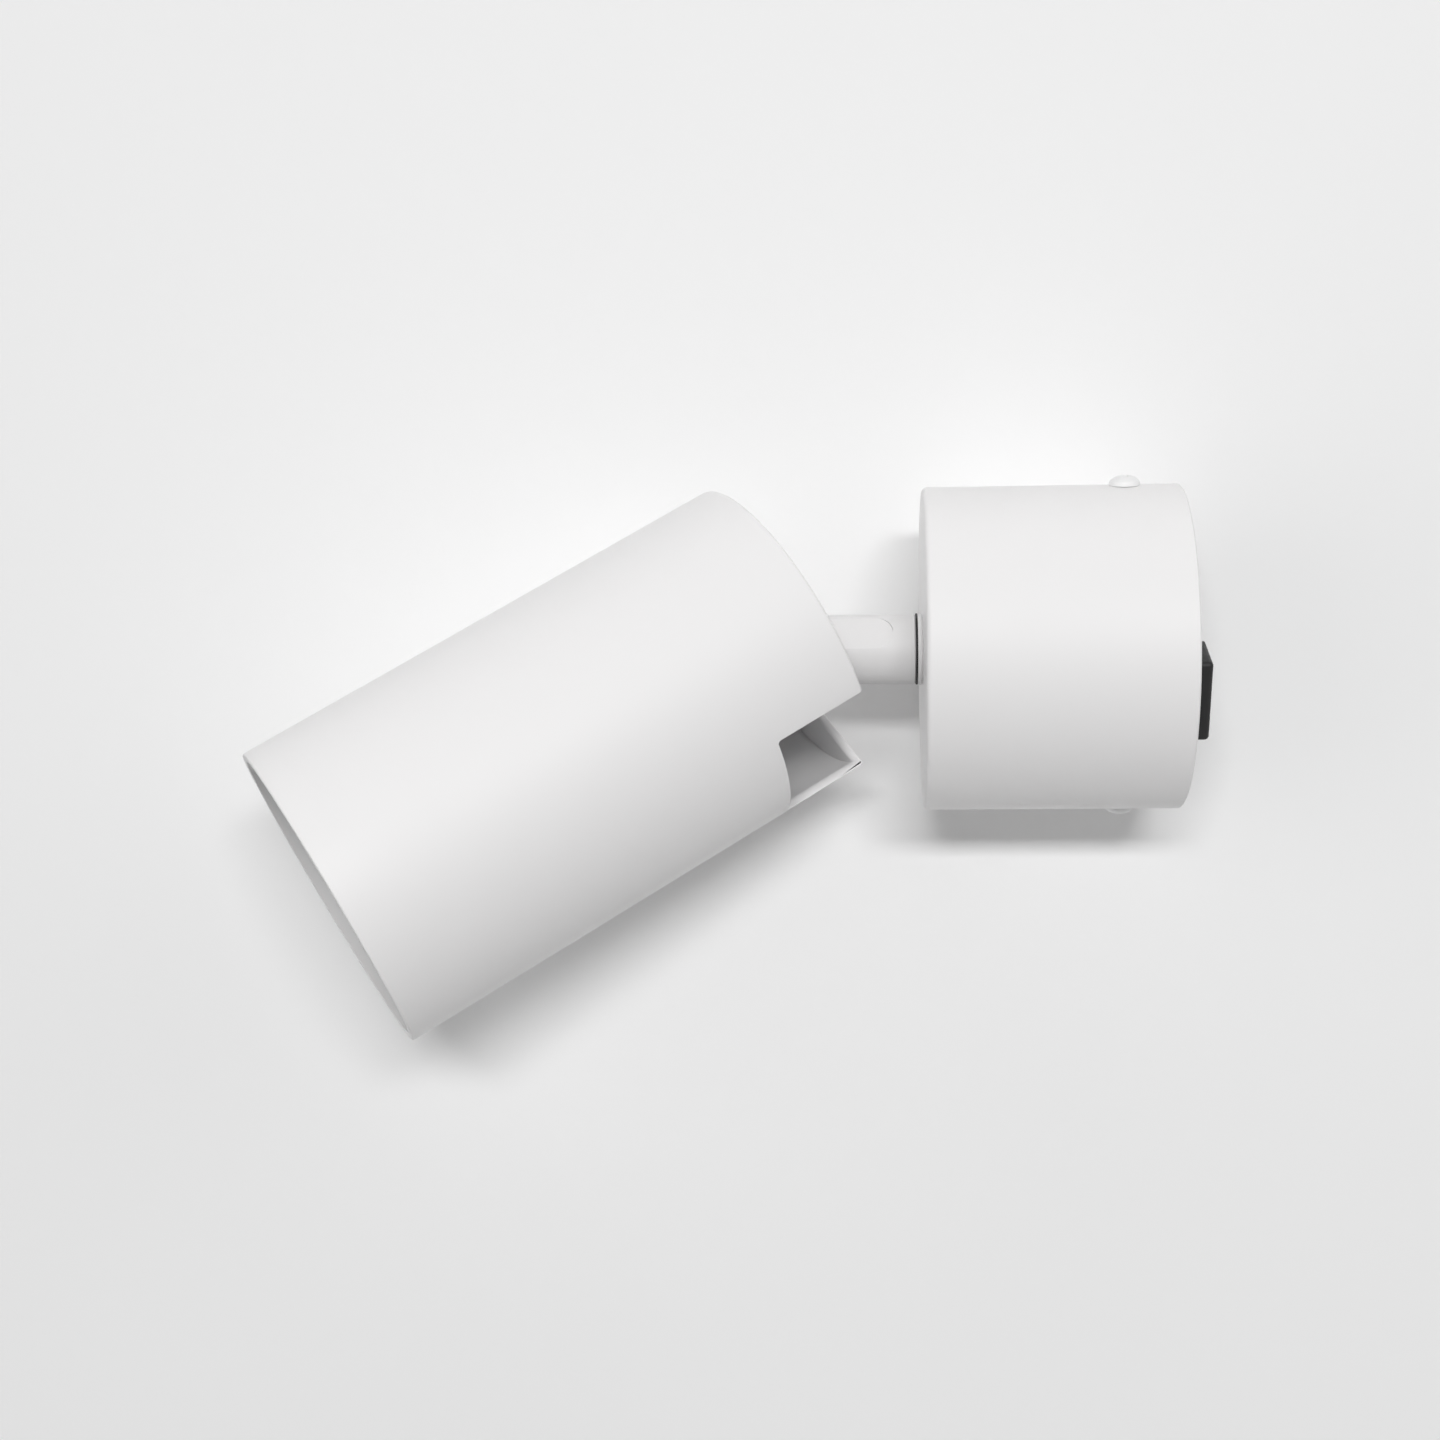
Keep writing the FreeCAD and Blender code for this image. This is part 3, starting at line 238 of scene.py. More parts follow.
def finish(name, rgb, roughness, metallic=0.0, grain_mm=0.8, relief_mm=0.003, fine_mm=0.3,
           fine_relief_mm=0.001, tint=0.02, patch_mm=14.0, sheen_spread=0.05,
           stretch=(1, 1, 1), place=None, rings_mm=0.0, plain=None):
    """A surface with grain of a real size in its relief, and patches in its tone and gloss."""
    material = bpy.data.materials.new(name)
    material.use_nodes = True
    tree = material.node_tree
    shader = tree.nodes["Principled BSDF"]
    raw = add_node(tree, "ShaderNodeTexCoord").outputs["Object"]
    where = place or Matrix()
    lined = add_node(tree, "ShaderNodeMapping",
                     {"Vector": raw, "Location": where.translation * MM,
                      "Rotation": where.to_euler(), "Scale": stretch},
                     vector_type="TEXTURE").outputs[0]
    grain = add_node(tree, "ShaderNodeTexNoise",
                     {"Vector": lined, "Scale": 1 / (grain_mm * MM), "Detail": 2.0}).outputs[0]
    fine = add_node(tree, "ShaderNodeTexNoise",
                    {"Vector": lined, "Scale": 1 / (fine_mm * MM), "Detail": 2.0}).outputs[0]
    if rings_mm:
        # at a scale of 1 the rings of a wave texture are tau / 20 apart
        fine = add_node(tree, "ShaderNodeTexWave",
                        {"Vector": lined, "Scale": math.tau / (20 * rings_mm * MM),
                         "Distortion": 1.2, "Detail": 1.0},
                        wave_type="RINGS", rings_direction="Z").outputs[1]
    patch = add_node(tree, "ShaderNodeTexNoise",
                     {"Vector": raw, "Scale": 1 / (patch_mm * MM), "Detail": 3.0}).outputs[0]
    # sockets 0, 6 and 7 are the factor and the two colours
    tone = add_node(tree, "ShaderNodeMix",
                    {0: patch, 6: (*[c * (1 - tint) for c in rgb], 1),
                     7: (*[min(1, c * (1 + tint)) for c in rgb], 1)}, data_type="RGBA").outputs[2]
    gloss = add_node(tree, "ShaderNodeMapRange",
                     {"Value": patch, "From Min": 0.3, "From Max": 0.7,
                      "To Min": roughness - sheen_spread,
                      "To Max": roughness + sheen_spread}).outputs[0]
    waves = add_node(tree, "ShaderNodeBump",
                     {"Height": grain, "Distance": relief_mm * MM, "Strength": 1.0}).outputs[0]
    bumps = add_node(tree, "ShaderNodeBump",
                     {"Height": fine, "Distance": fine_relief_mm * MM, "Strength": 1.0,
                      "Normal": waves}).outputs[0]
    tree.links.new(tone, shader.inputs["Base Color"])
    tree.links.new(gloss, shader.inputs["Roughness"])
    tree.links.new(bumps, shader.inputs["Normal"])
    shader.inputs["Metallic"].default_value = metallic
    for socket, value in (plain or {}).items():
        shader.inputs[socket].default_value = value
    return material


def satin_coat(c, s, name="Satin white powder coat", rgb=None):
    """Polyester powder coat: soft orange peel under a low sheen."""
    return finish(name, rgb or c.coat, roughness=0.55, grain_mm=s.peel / MM,
                  relief_mm=s.peel_height / MM, fine_mm=0.35, fine_relief_mm=0.0012, tint=0.006,
                  patch_mm=22.0, sheen_spread=0.04, plain={"Specular IOR Level": 0.42})


def stem_shade_finish(c, s):
    """The same powder coat, made greyer on the stem as painted shade."""
    return satin_coat(c, s, "White powder coat with painted shade", c.stem_shaded_coat)


def screw_lacquer(c, s):
    """Stoved lacquer on steel: thinner and glossier than the powder coat."""
    return finish("White stoved lacquer", c.lacquer, roughness=0.34, grain_mm=0.9,
                  relief_mm=0.003, fine_mm=0.3, fine_relief_mm=0.0008, tint=0.01, patch_mm=3.0)


def zinc_plate(c, s):
    """Bright zinc plate: cloudy patches and faint drawing lines.

    The real lines are finer and are drawn coarser so that they show."""
    return finish("Bright zinc plate", c.zinc, roughness=0.3, metallic=1.0, grain_mm=0.6,
                  relief_mm=0.004, fine_mm=0.4, fine_relief_mm=0.002, tint=0.06, patch_mm=4.0,
                  sheen_spread=0.08, stretch=(6, 1, 1))


def polished_stainless(c, s):
    """Tumbled stainless steel: bright, with tiny scratches in all directions.

    The real scratches are finer and are drawn coarser so that they show."""
    return finish("Polished stainless steel", c.stainless, roughness=0.2, metallic=1.0,
                  grain_mm=0.5, relief_mm=0.001, fine_mm=0.25, fine_relief_mm=0.0008, tint=0.03,
                  patch_mm=5.0)


def turned_aluminium(c, s):
    """Aluminium faced on a lathe: feed rings round the head's axis.

    The real rings are finer and are drawn at 0.4 mm so that they show."""
    return finish("Turned aluminium", c.aluminium, roughness=0.34, metallic=1.0, grain_mm=1.2,
                  relief_mm=0.002, rings_mm=0.4, fine_relief_mm=0.004, tint=0.03, patch_mm=9.0,
                  place=HEAD)


def milled_aluminium(c, s):
    """Aluminium milled from bar: straight cutter lines along the head."""
    return finish("Milled aluminium", c.aluminium, roughness=0.36, metallic=1.0, grain_mm=0.35,
                  relief_mm=0.003, fine_mm=0.2, fine_relief_mm=0.001, tint=0.04, patch_mm=7.0,
                  stretch=(1, 1, 14), place=HEAD)


def drawn_brass(c, s):
    """Drawn brass: bright, with patches where it has begun to dull."""
    return finish("Drawn brass", c.brass, roughness=0.26, metallic=1.0, grain_mm=0.5,
                  relief_mm=0.002, tint=0.08, patch_mm=3.0, sheen_spread=0.09)


def moulded_nylon(c, s):
    """Glass filled nylon: dark, with the spark grain of its mould, drawn coarser than it is."""
    return finish("Moulded black nylon", c.nylon, roughness=0.52, grain_mm=0.35,
                  relief_mm=0.008, fine_mm=0.15, fine_relief_mm=0.003, tint=0.2, patch_mm=2.5,
                  sheen_spread=0.08, plain={"Specular IOR Level": 0.4})


def matt_polycarbonate(c, s):
    """Black polycarbonate with a matt spark grain, drawn coarser than it is."""
    return finish("Matt black polycarbonate", c.baffle, roughness=0.6, grain_mm=0.3,
                  relief_mm=0.008, fine_mm=0.15, fine_relief_mm=0.003, tint=0.12, patch_mm=4.0,
                  plain={"Specular IOR Level": 0.4})


def soft_rubber(c, s):
    """Moulded rubber: dull, with a faint bloom in patches."""
    return finish("Black rubber", c.rubber, roughness=0.8, grain_mm=0.5, relief_mm=0.006,
                  tint=0.3, patch_mm=3.0, sheen_spread=0.08)


def steatite(c, s):
    """Pressed steatite ceramic: off-white, dry and slightly speckled."""
    return finish("Steatite ceramic", c.ceramic, roughness=0.62, grain_mm=0.5, relief_mm=0.008,
                  fine_mm=0.2, fine_relief_mm=0.004, tint=0.04, patch_mm=1.2, sheen_spread=0.1)


def glossy_shell(c, s):
    """Smooth moulded polycarbonate of the lamp's body."""
    return finish("Gloss white polycarbonate", c.lamp, roughness=0.24, grain_mm=6.0,
                  relief_mm=0.01, fine_mm=0.6, fine_relief_mm=0.0005, tint=0.01)


def frosted_lens(c, s):
    """Frosted polycarbonate lens that scatters what passes through it."""
    return finish("Frosted polycarbonate lens", c.lens, roughness=0.38, grain_mm=0.5,
                  relief_mm=0.004, fine_mm=0.2, fine_relief_mm=0.002, tint=0.01,
                  plain={"Transmission Weight": 0.35, "IOR": 1.585})


# by material slot, and two that a slot's own finish makes way for
FINISHES = {
    "white_coat": satin_coat, "white_lacquer": screw_lacquer, "zinc_steel": zinc_plate,
    "bright_steel": polished_stainless, "bare_aluminium": turned_aluminium,
    "brass": drawn_brass, "black_nylon": moulded_nylon, "black_plastic": matt_polycarbonate,
    "black_rubber": soft_rubber, "white_ceramic": steatite, "lamp_white": glossy_shell,
    "lens_glass": frosted_lens, "milled": milled_aluminium, "stem_shade_finish": stem_shade_finish,
}
made = {}


def finish_of(kind):
    """The material for one finish, made when it is first asked for."""
    if kind not in made:
        scene = bpy.context.scene
        made[kind] = FINISHES[kind](scene.spotlight_colours, scene.spotlight_sizes)
    return made[kind]


def dress(*names):
    """Give CAD nodes the finish of their slot."""
    for name in names:
        material = finish_of(SLOTS[name])
        mesh = NODES[name].data
        mesh.materials.clear()
        mesh.materials.append(material)


# ---- forms --------------------------------------------------------------------------------
def lathe(points, steps, hollow=False):
    """A turned form from its half section, a line of (radius, height) points.

    A hollow one has a closed section clear of the axis, and any other begins and ends on it."""
    form = bmesh.new()
    corners = [form.verts.new((radius, 0, height)) for radius, height in points]
    for first, second in zip(corners, corners[1:] + (corners[:1] if hollow else [])):
        form.edges.new((first, second))
    bmesh.ops.spin(form, geom=form.verts[:] + form.edges[:], cent=(0, 0, 0), axis=(0, 0, 1),
                   angle=math.tau, steps=steps, use_merge=True)
    bmesh.ops.remove_doubles(form, verts=form.verts[:], dist=MERGE_TURNED)
    bmesh.ops.recalc_face_normals(form, faces=form.faces[:])
    return form


def thread(radius, low, high, pitch):
    """A threaded rod along Z with its crests on the radius, cut square, with a tapered tip."""
    form = bmesh.new()
    root = radius - THREAD_DEPTH * pitch
    # in turns: how far below the low end it begins, and how much longer it is, before the cuts
    early, spare = 1.5, 2
    turns = math.ceil((high - low) / pitch) + spare
    corners = []
    for turn in range(turns):
        for share, crest in THREAD_TURN:
            height = low + (turn - early + share) * pitch
            corners.append(form.verts.new((radius if crest else root, 0, height)))
    for first, second in zip(corners, corners[1:]):
        form.edges.new((first, second))
    bmesh.ops.spin(form, geom=form.verts[:] + form.edges[:], cent=(0, 0, 0), axis=(0, 0, 1),
                   dvec=(0, 0, pitch / THREAD_STEPS), angle=math.tau, steps=THREAD_STEPS,
                   use_merge=False)
    bmesh.ops.remove_doubles(form, verts=form.verts[:], dist=MERGE_TURNED)
    for level, side in ((low, -1), (high, 1)):
        bmesh.ops.bisect_plane(form, geom=form.verts[:] + form.edges[:] + form.faces[:],
                               plane_co=(0, 0, level), plane_no=(0, 0, side), clear_outer=True)
    bmesh.ops.holes_fill(form, edges=[edge for edge in form.edges if edge.is_boundary], sides=0)
    bmesh.ops.recalc_face_normals(form, faces=form.faces[:])
    tip = [vert for vert in form.verts if vert.co.z < low + MERGE_CUT]
    bmesh.ops.scale(form, verts=tip, vec=(TIP_TAPER, TIP_TAPER, 1))
    return form


def carve(form, cutter):
    """Cut one form out of another."""
    holders = []
    for part in (form, cutter):
        mesh = bpy.data.meshes.new("blank")
        part.to_mesh(mesh)
        part.free()
        holders.append(bpy.data.objects.new("blank", mesh))
        bpy.context.scene.collection.objects.link(holders[-1])
    cut = holders[0].modifiers.new("Cut", "BOOLEAN")
    cut.operation = "DIFFERENCE"
    cut.solver = "EXACT"
    cut.object = holders[1]
    graph = bpy.context.evaluated_depsgraph_get()
    baked = bpy.data.meshes.new_from_object(holders[0].evaluated_get(graph))
    for holder in holders:
        bpy.data.meshes.remove(holder.data)
    result = bmesh.new()
    result.from_mesh(baked)
    bpy.data.meshes.remove(baked)
    return result


def joined(*forms):
    """One form that holds all the given ones."""
    whole = bmesh.new()
    for form in forms:
        mesh = bpy.data.meshes.new("blank")
        form.to_mesh(mesh)
        form.free()
        whole.from_mesh(mesh)
        bpy.data.meshes.remove(mesh)
    return whole


def round_edges(form, edges, width, segments, clamp=False):
    """Round the edges over a width on each side."""
    bmesh.ops.bevel(form, geom=edges, offset=width, offset_type="OFFSET", segments=segments,
                    profile=0.5, affect="EDGES", clamp_overlap=clamp, material=-1)


def bar(low, high, radius, pick):
    """A box between two corners, with the edges that the test picks rounded."""
    form = bmesh.new()
    bmesh.ops.create_cube(form, size=1)
    low, high = Vector(low), Vector(high)
    bmesh.ops.scale(form, verts=form.verts[:], vec=high - low)
    bmesh.ops.translate(form, verts=form.verts[:], vec=(low + high) / 2)
    edges = [edge for edge in form.edges if pick(*(vert.co for vert in edge.verts))]
    round_edges(form, edges, radius, segments=6)
    return form


def recess_cutter(reach, blade, top, depth, cross=True):
    """A driver's cross or slot, narrower at its bottom. Blade is half an arm's width."""
    cutter = bmesh.new()
    bmesh.ops.create_cube(cutter, size=2 * blade)
    sides = [face for face in cutter.faces if abs(face.normal.z) < 0.5
             and (cross or abs(face.normal.x) > 0.5)]
    arms = bmesh.ops.extrude_discrete_faces(cutter, faces=sides)["faces"]
    for face in arms:
        bmesh.ops.translate(cutter, verts=face.verts[:], vec=face.normal * (reach - blade))
    bmesh.ops.scale(cutter, verts=cutter.verts[:],
                    vec=(1, 1, (depth + OVERSHOOT) / (2 * blade)))
    low = [vert for vert in cutter.verts if vert.co.z < 0]
    bmesh.ops.scale(cutter, verts=low, vec=(RECESS_TAPER, RECESS_TAPER if cross else 1, 1))
    bmesh.ops.translate(cutter, verts=cutter.verts[:],
                        vec=(0, 0, top - depth / 2 + OVERSHOOT / 2))
    return cutter


def machine_screw(size, pitch):
    """A threaded screw with a domed head above z = 0 and a tapered cross in it."""
    diameter, shank, head_diameter, head_height = size
    edge = head_diameter / 2
    rise = head_height * DOME_HEIGHT
    head = lathe([(0, 0)] + [(edge * out, rise * up) for out, up in DOME], steps=48)
    cross = recess_cutter(edge * CROSS_REACH, head_height / CROSS_BLADE, rise,
                          rise * CROSS_DEPTH)
    return joined(carve(head, cross), thread(diameter / 2, -shank, THREAD_RUN_IN, pitch))


def at_each(place, points):
    """The place repeated at each point."""
    return [place @ Matrix.Translation(point) for point in points]


def settle(form, name, node, places=(Matrix(),), kind=None, crease=32):
    """Stand a new piece in for a CAD node, with its form at each place.

    Edges sharper than the crease, in degrees, stay sharp."""
    blank = bpy.data.meshes.new(name)
    form.to_mesh(blank)
    form.free()
    whole = bmesh.new()
    for place in places:
        known = len(whole.verts)
        whole.from_mesh(blank)
        whole.verts.ensure_lookup_table()
        bmesh.ops.transform(whole, matrix=Matrix.Scale(MM, 4) @ place, verts=whole.verts[known:])
    bpy.data.meshes.remove(blank)
    mesh = bpy.data.meshes.new(name)
    whole.to_mesh(mesh)
    whole.free()
    mesh.shade_smooth()
    mesh.set_sharp_from_angle(angle=math.radians(crease))
    mesh.materials.append(finish_of(kind or SLOTS[node]))
    piece = bpy.data.objects.new(name, mesh)
    bpy.context.scene.collection.objects.link(piece)
    corners = [Vector(corner) for corner in piece.bound_box]
    for old, pick in zip(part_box(node), (min, max)):
        new = Vector([pick(corner[axis] for corner in corners) for axis in range(3)])
        if (new - old).length > PLACE_TOLERANCE * MM:
            raise ValueError(f"{name} isn't where {node} is: {new / MM} and {old / MM}")
    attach(piece, NODES[node]["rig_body"])
    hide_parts(node)
    return piece


def even_shading(piece):
    """Lean the shading on large faces, so that narrow rounds don't bend it on their neighbours."""
    even = piece.modifiers.new("Even shading", "WEIGHTED_NORMAL")
    even.mode = "FACE_AREA"
    even.weight = 80
    even.keep_sharp = True


def soften(node, name, width, kind=None, least=32, lift=(0, 0, 0)):
    """Stand a copy of a CAD node in for it, with its sharp edges rounded.

    Edges count as sharp from the least angle in degrees. Lift is a rise in mm of what lies
    between two heights."""
    form = bmesh.new()
    form.from_mesh(NODES[node].data)
    bmesh.ops.scale(form, verts=form.verts[:], vec=(1 / MM, 1 / MM, 1 / MM))
    bmesh.ops.remove_doubles(form, verts=form.verts[:], dist=MERGE_CUT)
    bmesh.ops.dissolve_limit(form, angle_limit=math.radians(FLAT_ANGLE), verts=form.verts[:],
                             edges=form.edges[:], delimit={"NORMAL"})
    rise, low, high = lift
    bmesh.ops.translate(form, vec=(0, 0, rise),
                        verts=[vert for vert in form.verts if low < vert.co.z < high])
    sharp = [edge for edge in form.edges
             if edge.is_manifold and edge.calc_face_angle() > math.radians(least)]
    round_edges(form, sharp, width, segments=2, clamp=True)
    even_shading(settle(form, name, node, kind=kind, crease=50))


# ---- pieces -------------------------------------------------------------------------------
class SPOTLIGHT_OT_canopy(bpy.types.Operator):
    """Coat the canopy and the collar under it"""
    bl_idname = "spotlight.canopy"
    bl_label = "Canopy"
    bl_options = {"REGISTER", "UNDO"}

    def execute(self, context):
        soften("canopy_shell", "canopy_coated", context.scene.spotlight_sizes.coat_edge / MM)
        dress("collar_washer", "slip_washer")
        return {"FINISHED"}


class SPOTLIGHT_OT_side_screws(bpy.types.Operator):
    """Thread and lacquer the two screws in the canopy's sides"""
    bl_idname = "spotlight.side_screws"
    bl_label = "Side Screws"
    bl_options = {"REGISTER", "UNDO"}

    def execute(self, context):
        pitch = context.scene.spotlight_sizes.small_pitch / MM
        one = (Matrix.Rotation(math.radians(SIDE_SCREW_TURN), 4, "Z")
               @ Matrix.Translation(SIDE_SCREW_SEAT) @ TO_X)
        settle(machine_screw(SIDE_SCREW, pitch), "side_screws", "canopy_screws",
               (one, HALF_TURN @ one))
        return {"FINISHED"}


class SPOTLIGHT_OT_bracket(bpy.types.Operator):
    """Plate the ceiling bracket and fit its bushing and earth screw"""
    bl_idname = "spotlight.bracket"
    bl_label = "Bracket and Earth"
    bl_options = {"REGISTER", "UNDO"}

    def execute(self, context):
        sizes = context.scene.spotlight_sizes
        soften("ceiling_bracket", "bracket_plated", sizes.metal_edge / MM)
        dress("cable_bushing", "earth_washer")
        settle(machine_screw(EARTH_SCREW, sizes.large_pitch / MM), "earth_screw_threaded",
               "earth_screw", (Matrix.Translation(EARTH_SCREW_SEAT) @ TO_Y,))
        return {"FINISHED"}


class SPOTLIGHT_OT_terminal(bpy.types.Operator):
    """Finish the terminal block, its sleeves and its screws"""
    bl_idname = "spotlight.terminal"
    bl_label = "Terminal Block"
    bl_options = {"REGISTER", "UNDO"}

    def execute(self, context):
        block_edge = 0.2
        soften("terminal_block", "block_moulded", block_edge)
        dress("terminal_sleeves")
        pitch = context.scene.spotlight_sizes.grub_pitch / MM
        settle(machine_screw(BLOCK_SCREW, pitch), "block_fixing_screw", "terminal_fixing_screw",
               (BLOCK @ Matrix.Translation(BLOCK_SCREW_SEAT) @ TO_MINUS_Y,))
        radius, height, slot_reach, slot_blade, slot_depth = 1.25, 2.6, 2, 0.25, 0.65
        slot = recess_cutter(slot_reach, slot_blade, height, slot_depth, cross=False)
        settle(carve(thread(radius, 0, height, pitch), slot), "clamp_screws", "terminal_screws",
               [place @ TO_MINUS_Y for place in at_each(BLOCK, CLAMP_SCREW_TIPS)])
        return {"FINISHED"}


class SPOTLIGHT_OT_swivel(bpy.types.Operator):
    """Coat the stem and finish what holds it in the canopy"""
    bl_idname = "spotlight.swivel"
    bl_label = "Swivel"
    bl_options = {"REGISTER", "UNDO"}

    def execute(self, context):
        # the solid's shoulder is raised, so that a thinner part of the black ring shows
        face, shoulder, solid_shoulder, below, above = -47.9, -48.28, -48.5, -48.9, -48.4
        coated_edge, flat_angle = 0.15, 28
        # the stem takes the darker copy of the coat, which paints its shade
        soften("swivel_stem", "stem_coated", coated_edge, kind="stem_shade_finish", least=flat_angle,
               lift=(shoulder - solid_shoulder, below, above))
        inner, outer, edge_in, edge_up = 5.1, 6.65, 0.1, 0.08
        ring = lathe([(inner, shoulder), (outer - edge_in, shoulder), (outer, shoulder + edge_up),
                      (outer, face - edge_up), (outer - edge_in, face), (inner, face)],
                     steps=96, hollow=True)
        settle(ring, "shoulder_ring", "friction_ring")
        dress("stop_washer", "disc_spring", "stem_nut")
        return {"FINISHED"}


class SPOTLIGHT_OT_knuckle(bpy.types.Operator):
    """Finish the fork and thread the pivot and fork screws"""
    bl_idname = "spotlight.knuckle"
    bl_label = "Knuckle"
    bl_options = {"REGISTER", "UNDO"}

    def execute(self, context):
        sizes = context.scene.spotlight_sizes
        soften("knuckle_fork", "fork_milled", sizes.metal_edge / MM, kind="milled")
        dress("tilt_stop_pin", "friction_washers", "pivot_washers", "pivot_nut")
        settle(machine_screw(PIVOT_SCREW, sizes.large_pitch / MM), "pivot_screw_threaded",
               "pivot_screw", (HEAD @ Matrix.Translation(PIVOT_SCREW_SEAT) @ TO_MINUS_Y,))
        settle(machine_screw(FORK_SCREW, sizes.small_pitch / MM), "fork_screw_pair",
               "fork_screws", at_each(HEAD, FORK_SCREW_SEATS))
        return {"FINISHED"}


class SPOTLIGHT_OT_bulkhead(bpy.types.Operator):
    """Finish the bulkhead, its screws and the grommet"""
    bl_idname = "spotlight.bulkhead"
    bl_label = "Bulkhead"
    bl_options = {"REGISTER", "UNDO"}

    def execute(self, context):
        sizes = context.scene.spotlight_sizes
        soften("bulkhead", "bulkhead_turned", sizes.metal_edge / MM)
        dress("lead_grommet")
        places = [HEAD @ Matrix.Rotation(math.radians(angle), 4, "Z")
                  @ Matrix.Translation((BOSS_REACH, 0, BULKHEAD_FRONT)) @ DOWN
                  for angle in BOSS_ANGLES]
        settle(machine_screw(BULKHEAD_SCREW, sizes.small_pitch / MM), "bulkhead_screw_set",
               "bulkhead_screws", places)
        return {"FINISHED"}


class SPOTLIGHT_OT_lampholder(bpy.types.Operator):
    """Finish the ceramic lampholder, its contacts and its screws"""
    bl_idname = "spotlight.lampholder"
    bl_label = "Lampholder"
    bl_options = {"REGISTER", "UNDO"}

    def execute(self, context):
        dress("lampholder", "lampholder_contacts")
        pitch = context.scene.spotlight_sizes.small_pitch / MM
        settle(machine_screw(HOLDER_SCREW, pitch), "holder_screw_pair", "lampholder_screws",
               [place @ DOWN for place in at_each(HEAD, HOLDER_SCREW_SEATS)])
        return {"FINISHED"}


class SPOTLIGHT_OT_lamp(bpy.types.Operator):
    """Finish the lamp and turn the prism rings of its lens"""
    bl_idname = "spotlight.lamp"
    bl_label = "Lamp"
    bl_options = {"REGISTER", "UNDO"}

    def execute(self, context):
        dress("lamp_body", "lamp_pins")
        sizes = context.scene.spotlight_sizes
        radius, low, high, rim, rear_edge, front_edge = 22.9, -74.9, -73.1, 1.2, 0.15, 0.2
        crest, shoulder, shoulder_height = 0.12, 0.6, 0.35   # shares of a ring
        relief = sizes.lens_relief / MM
        width = (radius - rim) / sizes.lens_rings
        section = [(0, high), (radius - rear_edge, high), (radius, high - rear_edge),
                   (radius, low + front_edge), (radius - front_edge, low), (radius - rim, low)]
        for ring in range(sizes.lens_rings, 0, -1):
            outer = ring * width
            section += [(outer - crest * width, low + relief),
                        (outer - shoulder * width, low + shoulder_height * relief),
                        (outer - width, low)]
        settle(lathe(section, steps=96), "prism_lens", "lamp_lens", (HEAD,), crease=20)
        return {"FINISHED"}


class SPOTLIGHT_OT_baffle(bpy.types.Operator):
    """Turn the stepped anti-glare ring with a soft edge on each step"""
    bl_idname = "spotlight.baffle"
    bl_label = "Baffle"
    bl_options = {"REGISTER", "UNDO"}

    def execute(self, context):
        front, back, outer, mouth, throat, steps = -86.7, -75.7, 28.0, 27.0, 22.1, 6
        groove_front, groove_back, groove_depth = -81.5, -79.9, 1.6
        rise = (back - front) / (steps + 1)
        width = (mouth - throat) / steps
        section = [(throat, back)]
        for step in range(1, steps + 1):
            height = back - step * rise
            section += [(throat + (step - 1) * width, height), (throat + step * width, height)]
        section += [(mouth, front), (outer, front), (outer, groove_front),
                    (outer - groove_depth, groove_front), (outer - groove_depth, groove_back),
                    (outer, groove_back), (outer, back)]
        form = lathe(section, steps=96, hollow=True)
        rims = [edge for edge in form.edges
                if abs(edge.verts[0].co.z - edge.verts[1].co.z) < MERGE_TURNED
                and abs(edge.verts[0].co.xy.length - edge.verts[1].co.xy.length) < MERGE_CUT]
        round_edges(form, rims, context.scene.spotlight_sizes.step_edge / MM, segments=2)
        bmesh.ops.recalc_face_normals(form, faces=form.faces[:])
        settle(form, "stepped_baffle", "baffle_ring", (HEAD,), crease=50)
        dress("baffle_o_ring")
        return {"FINISHED"}


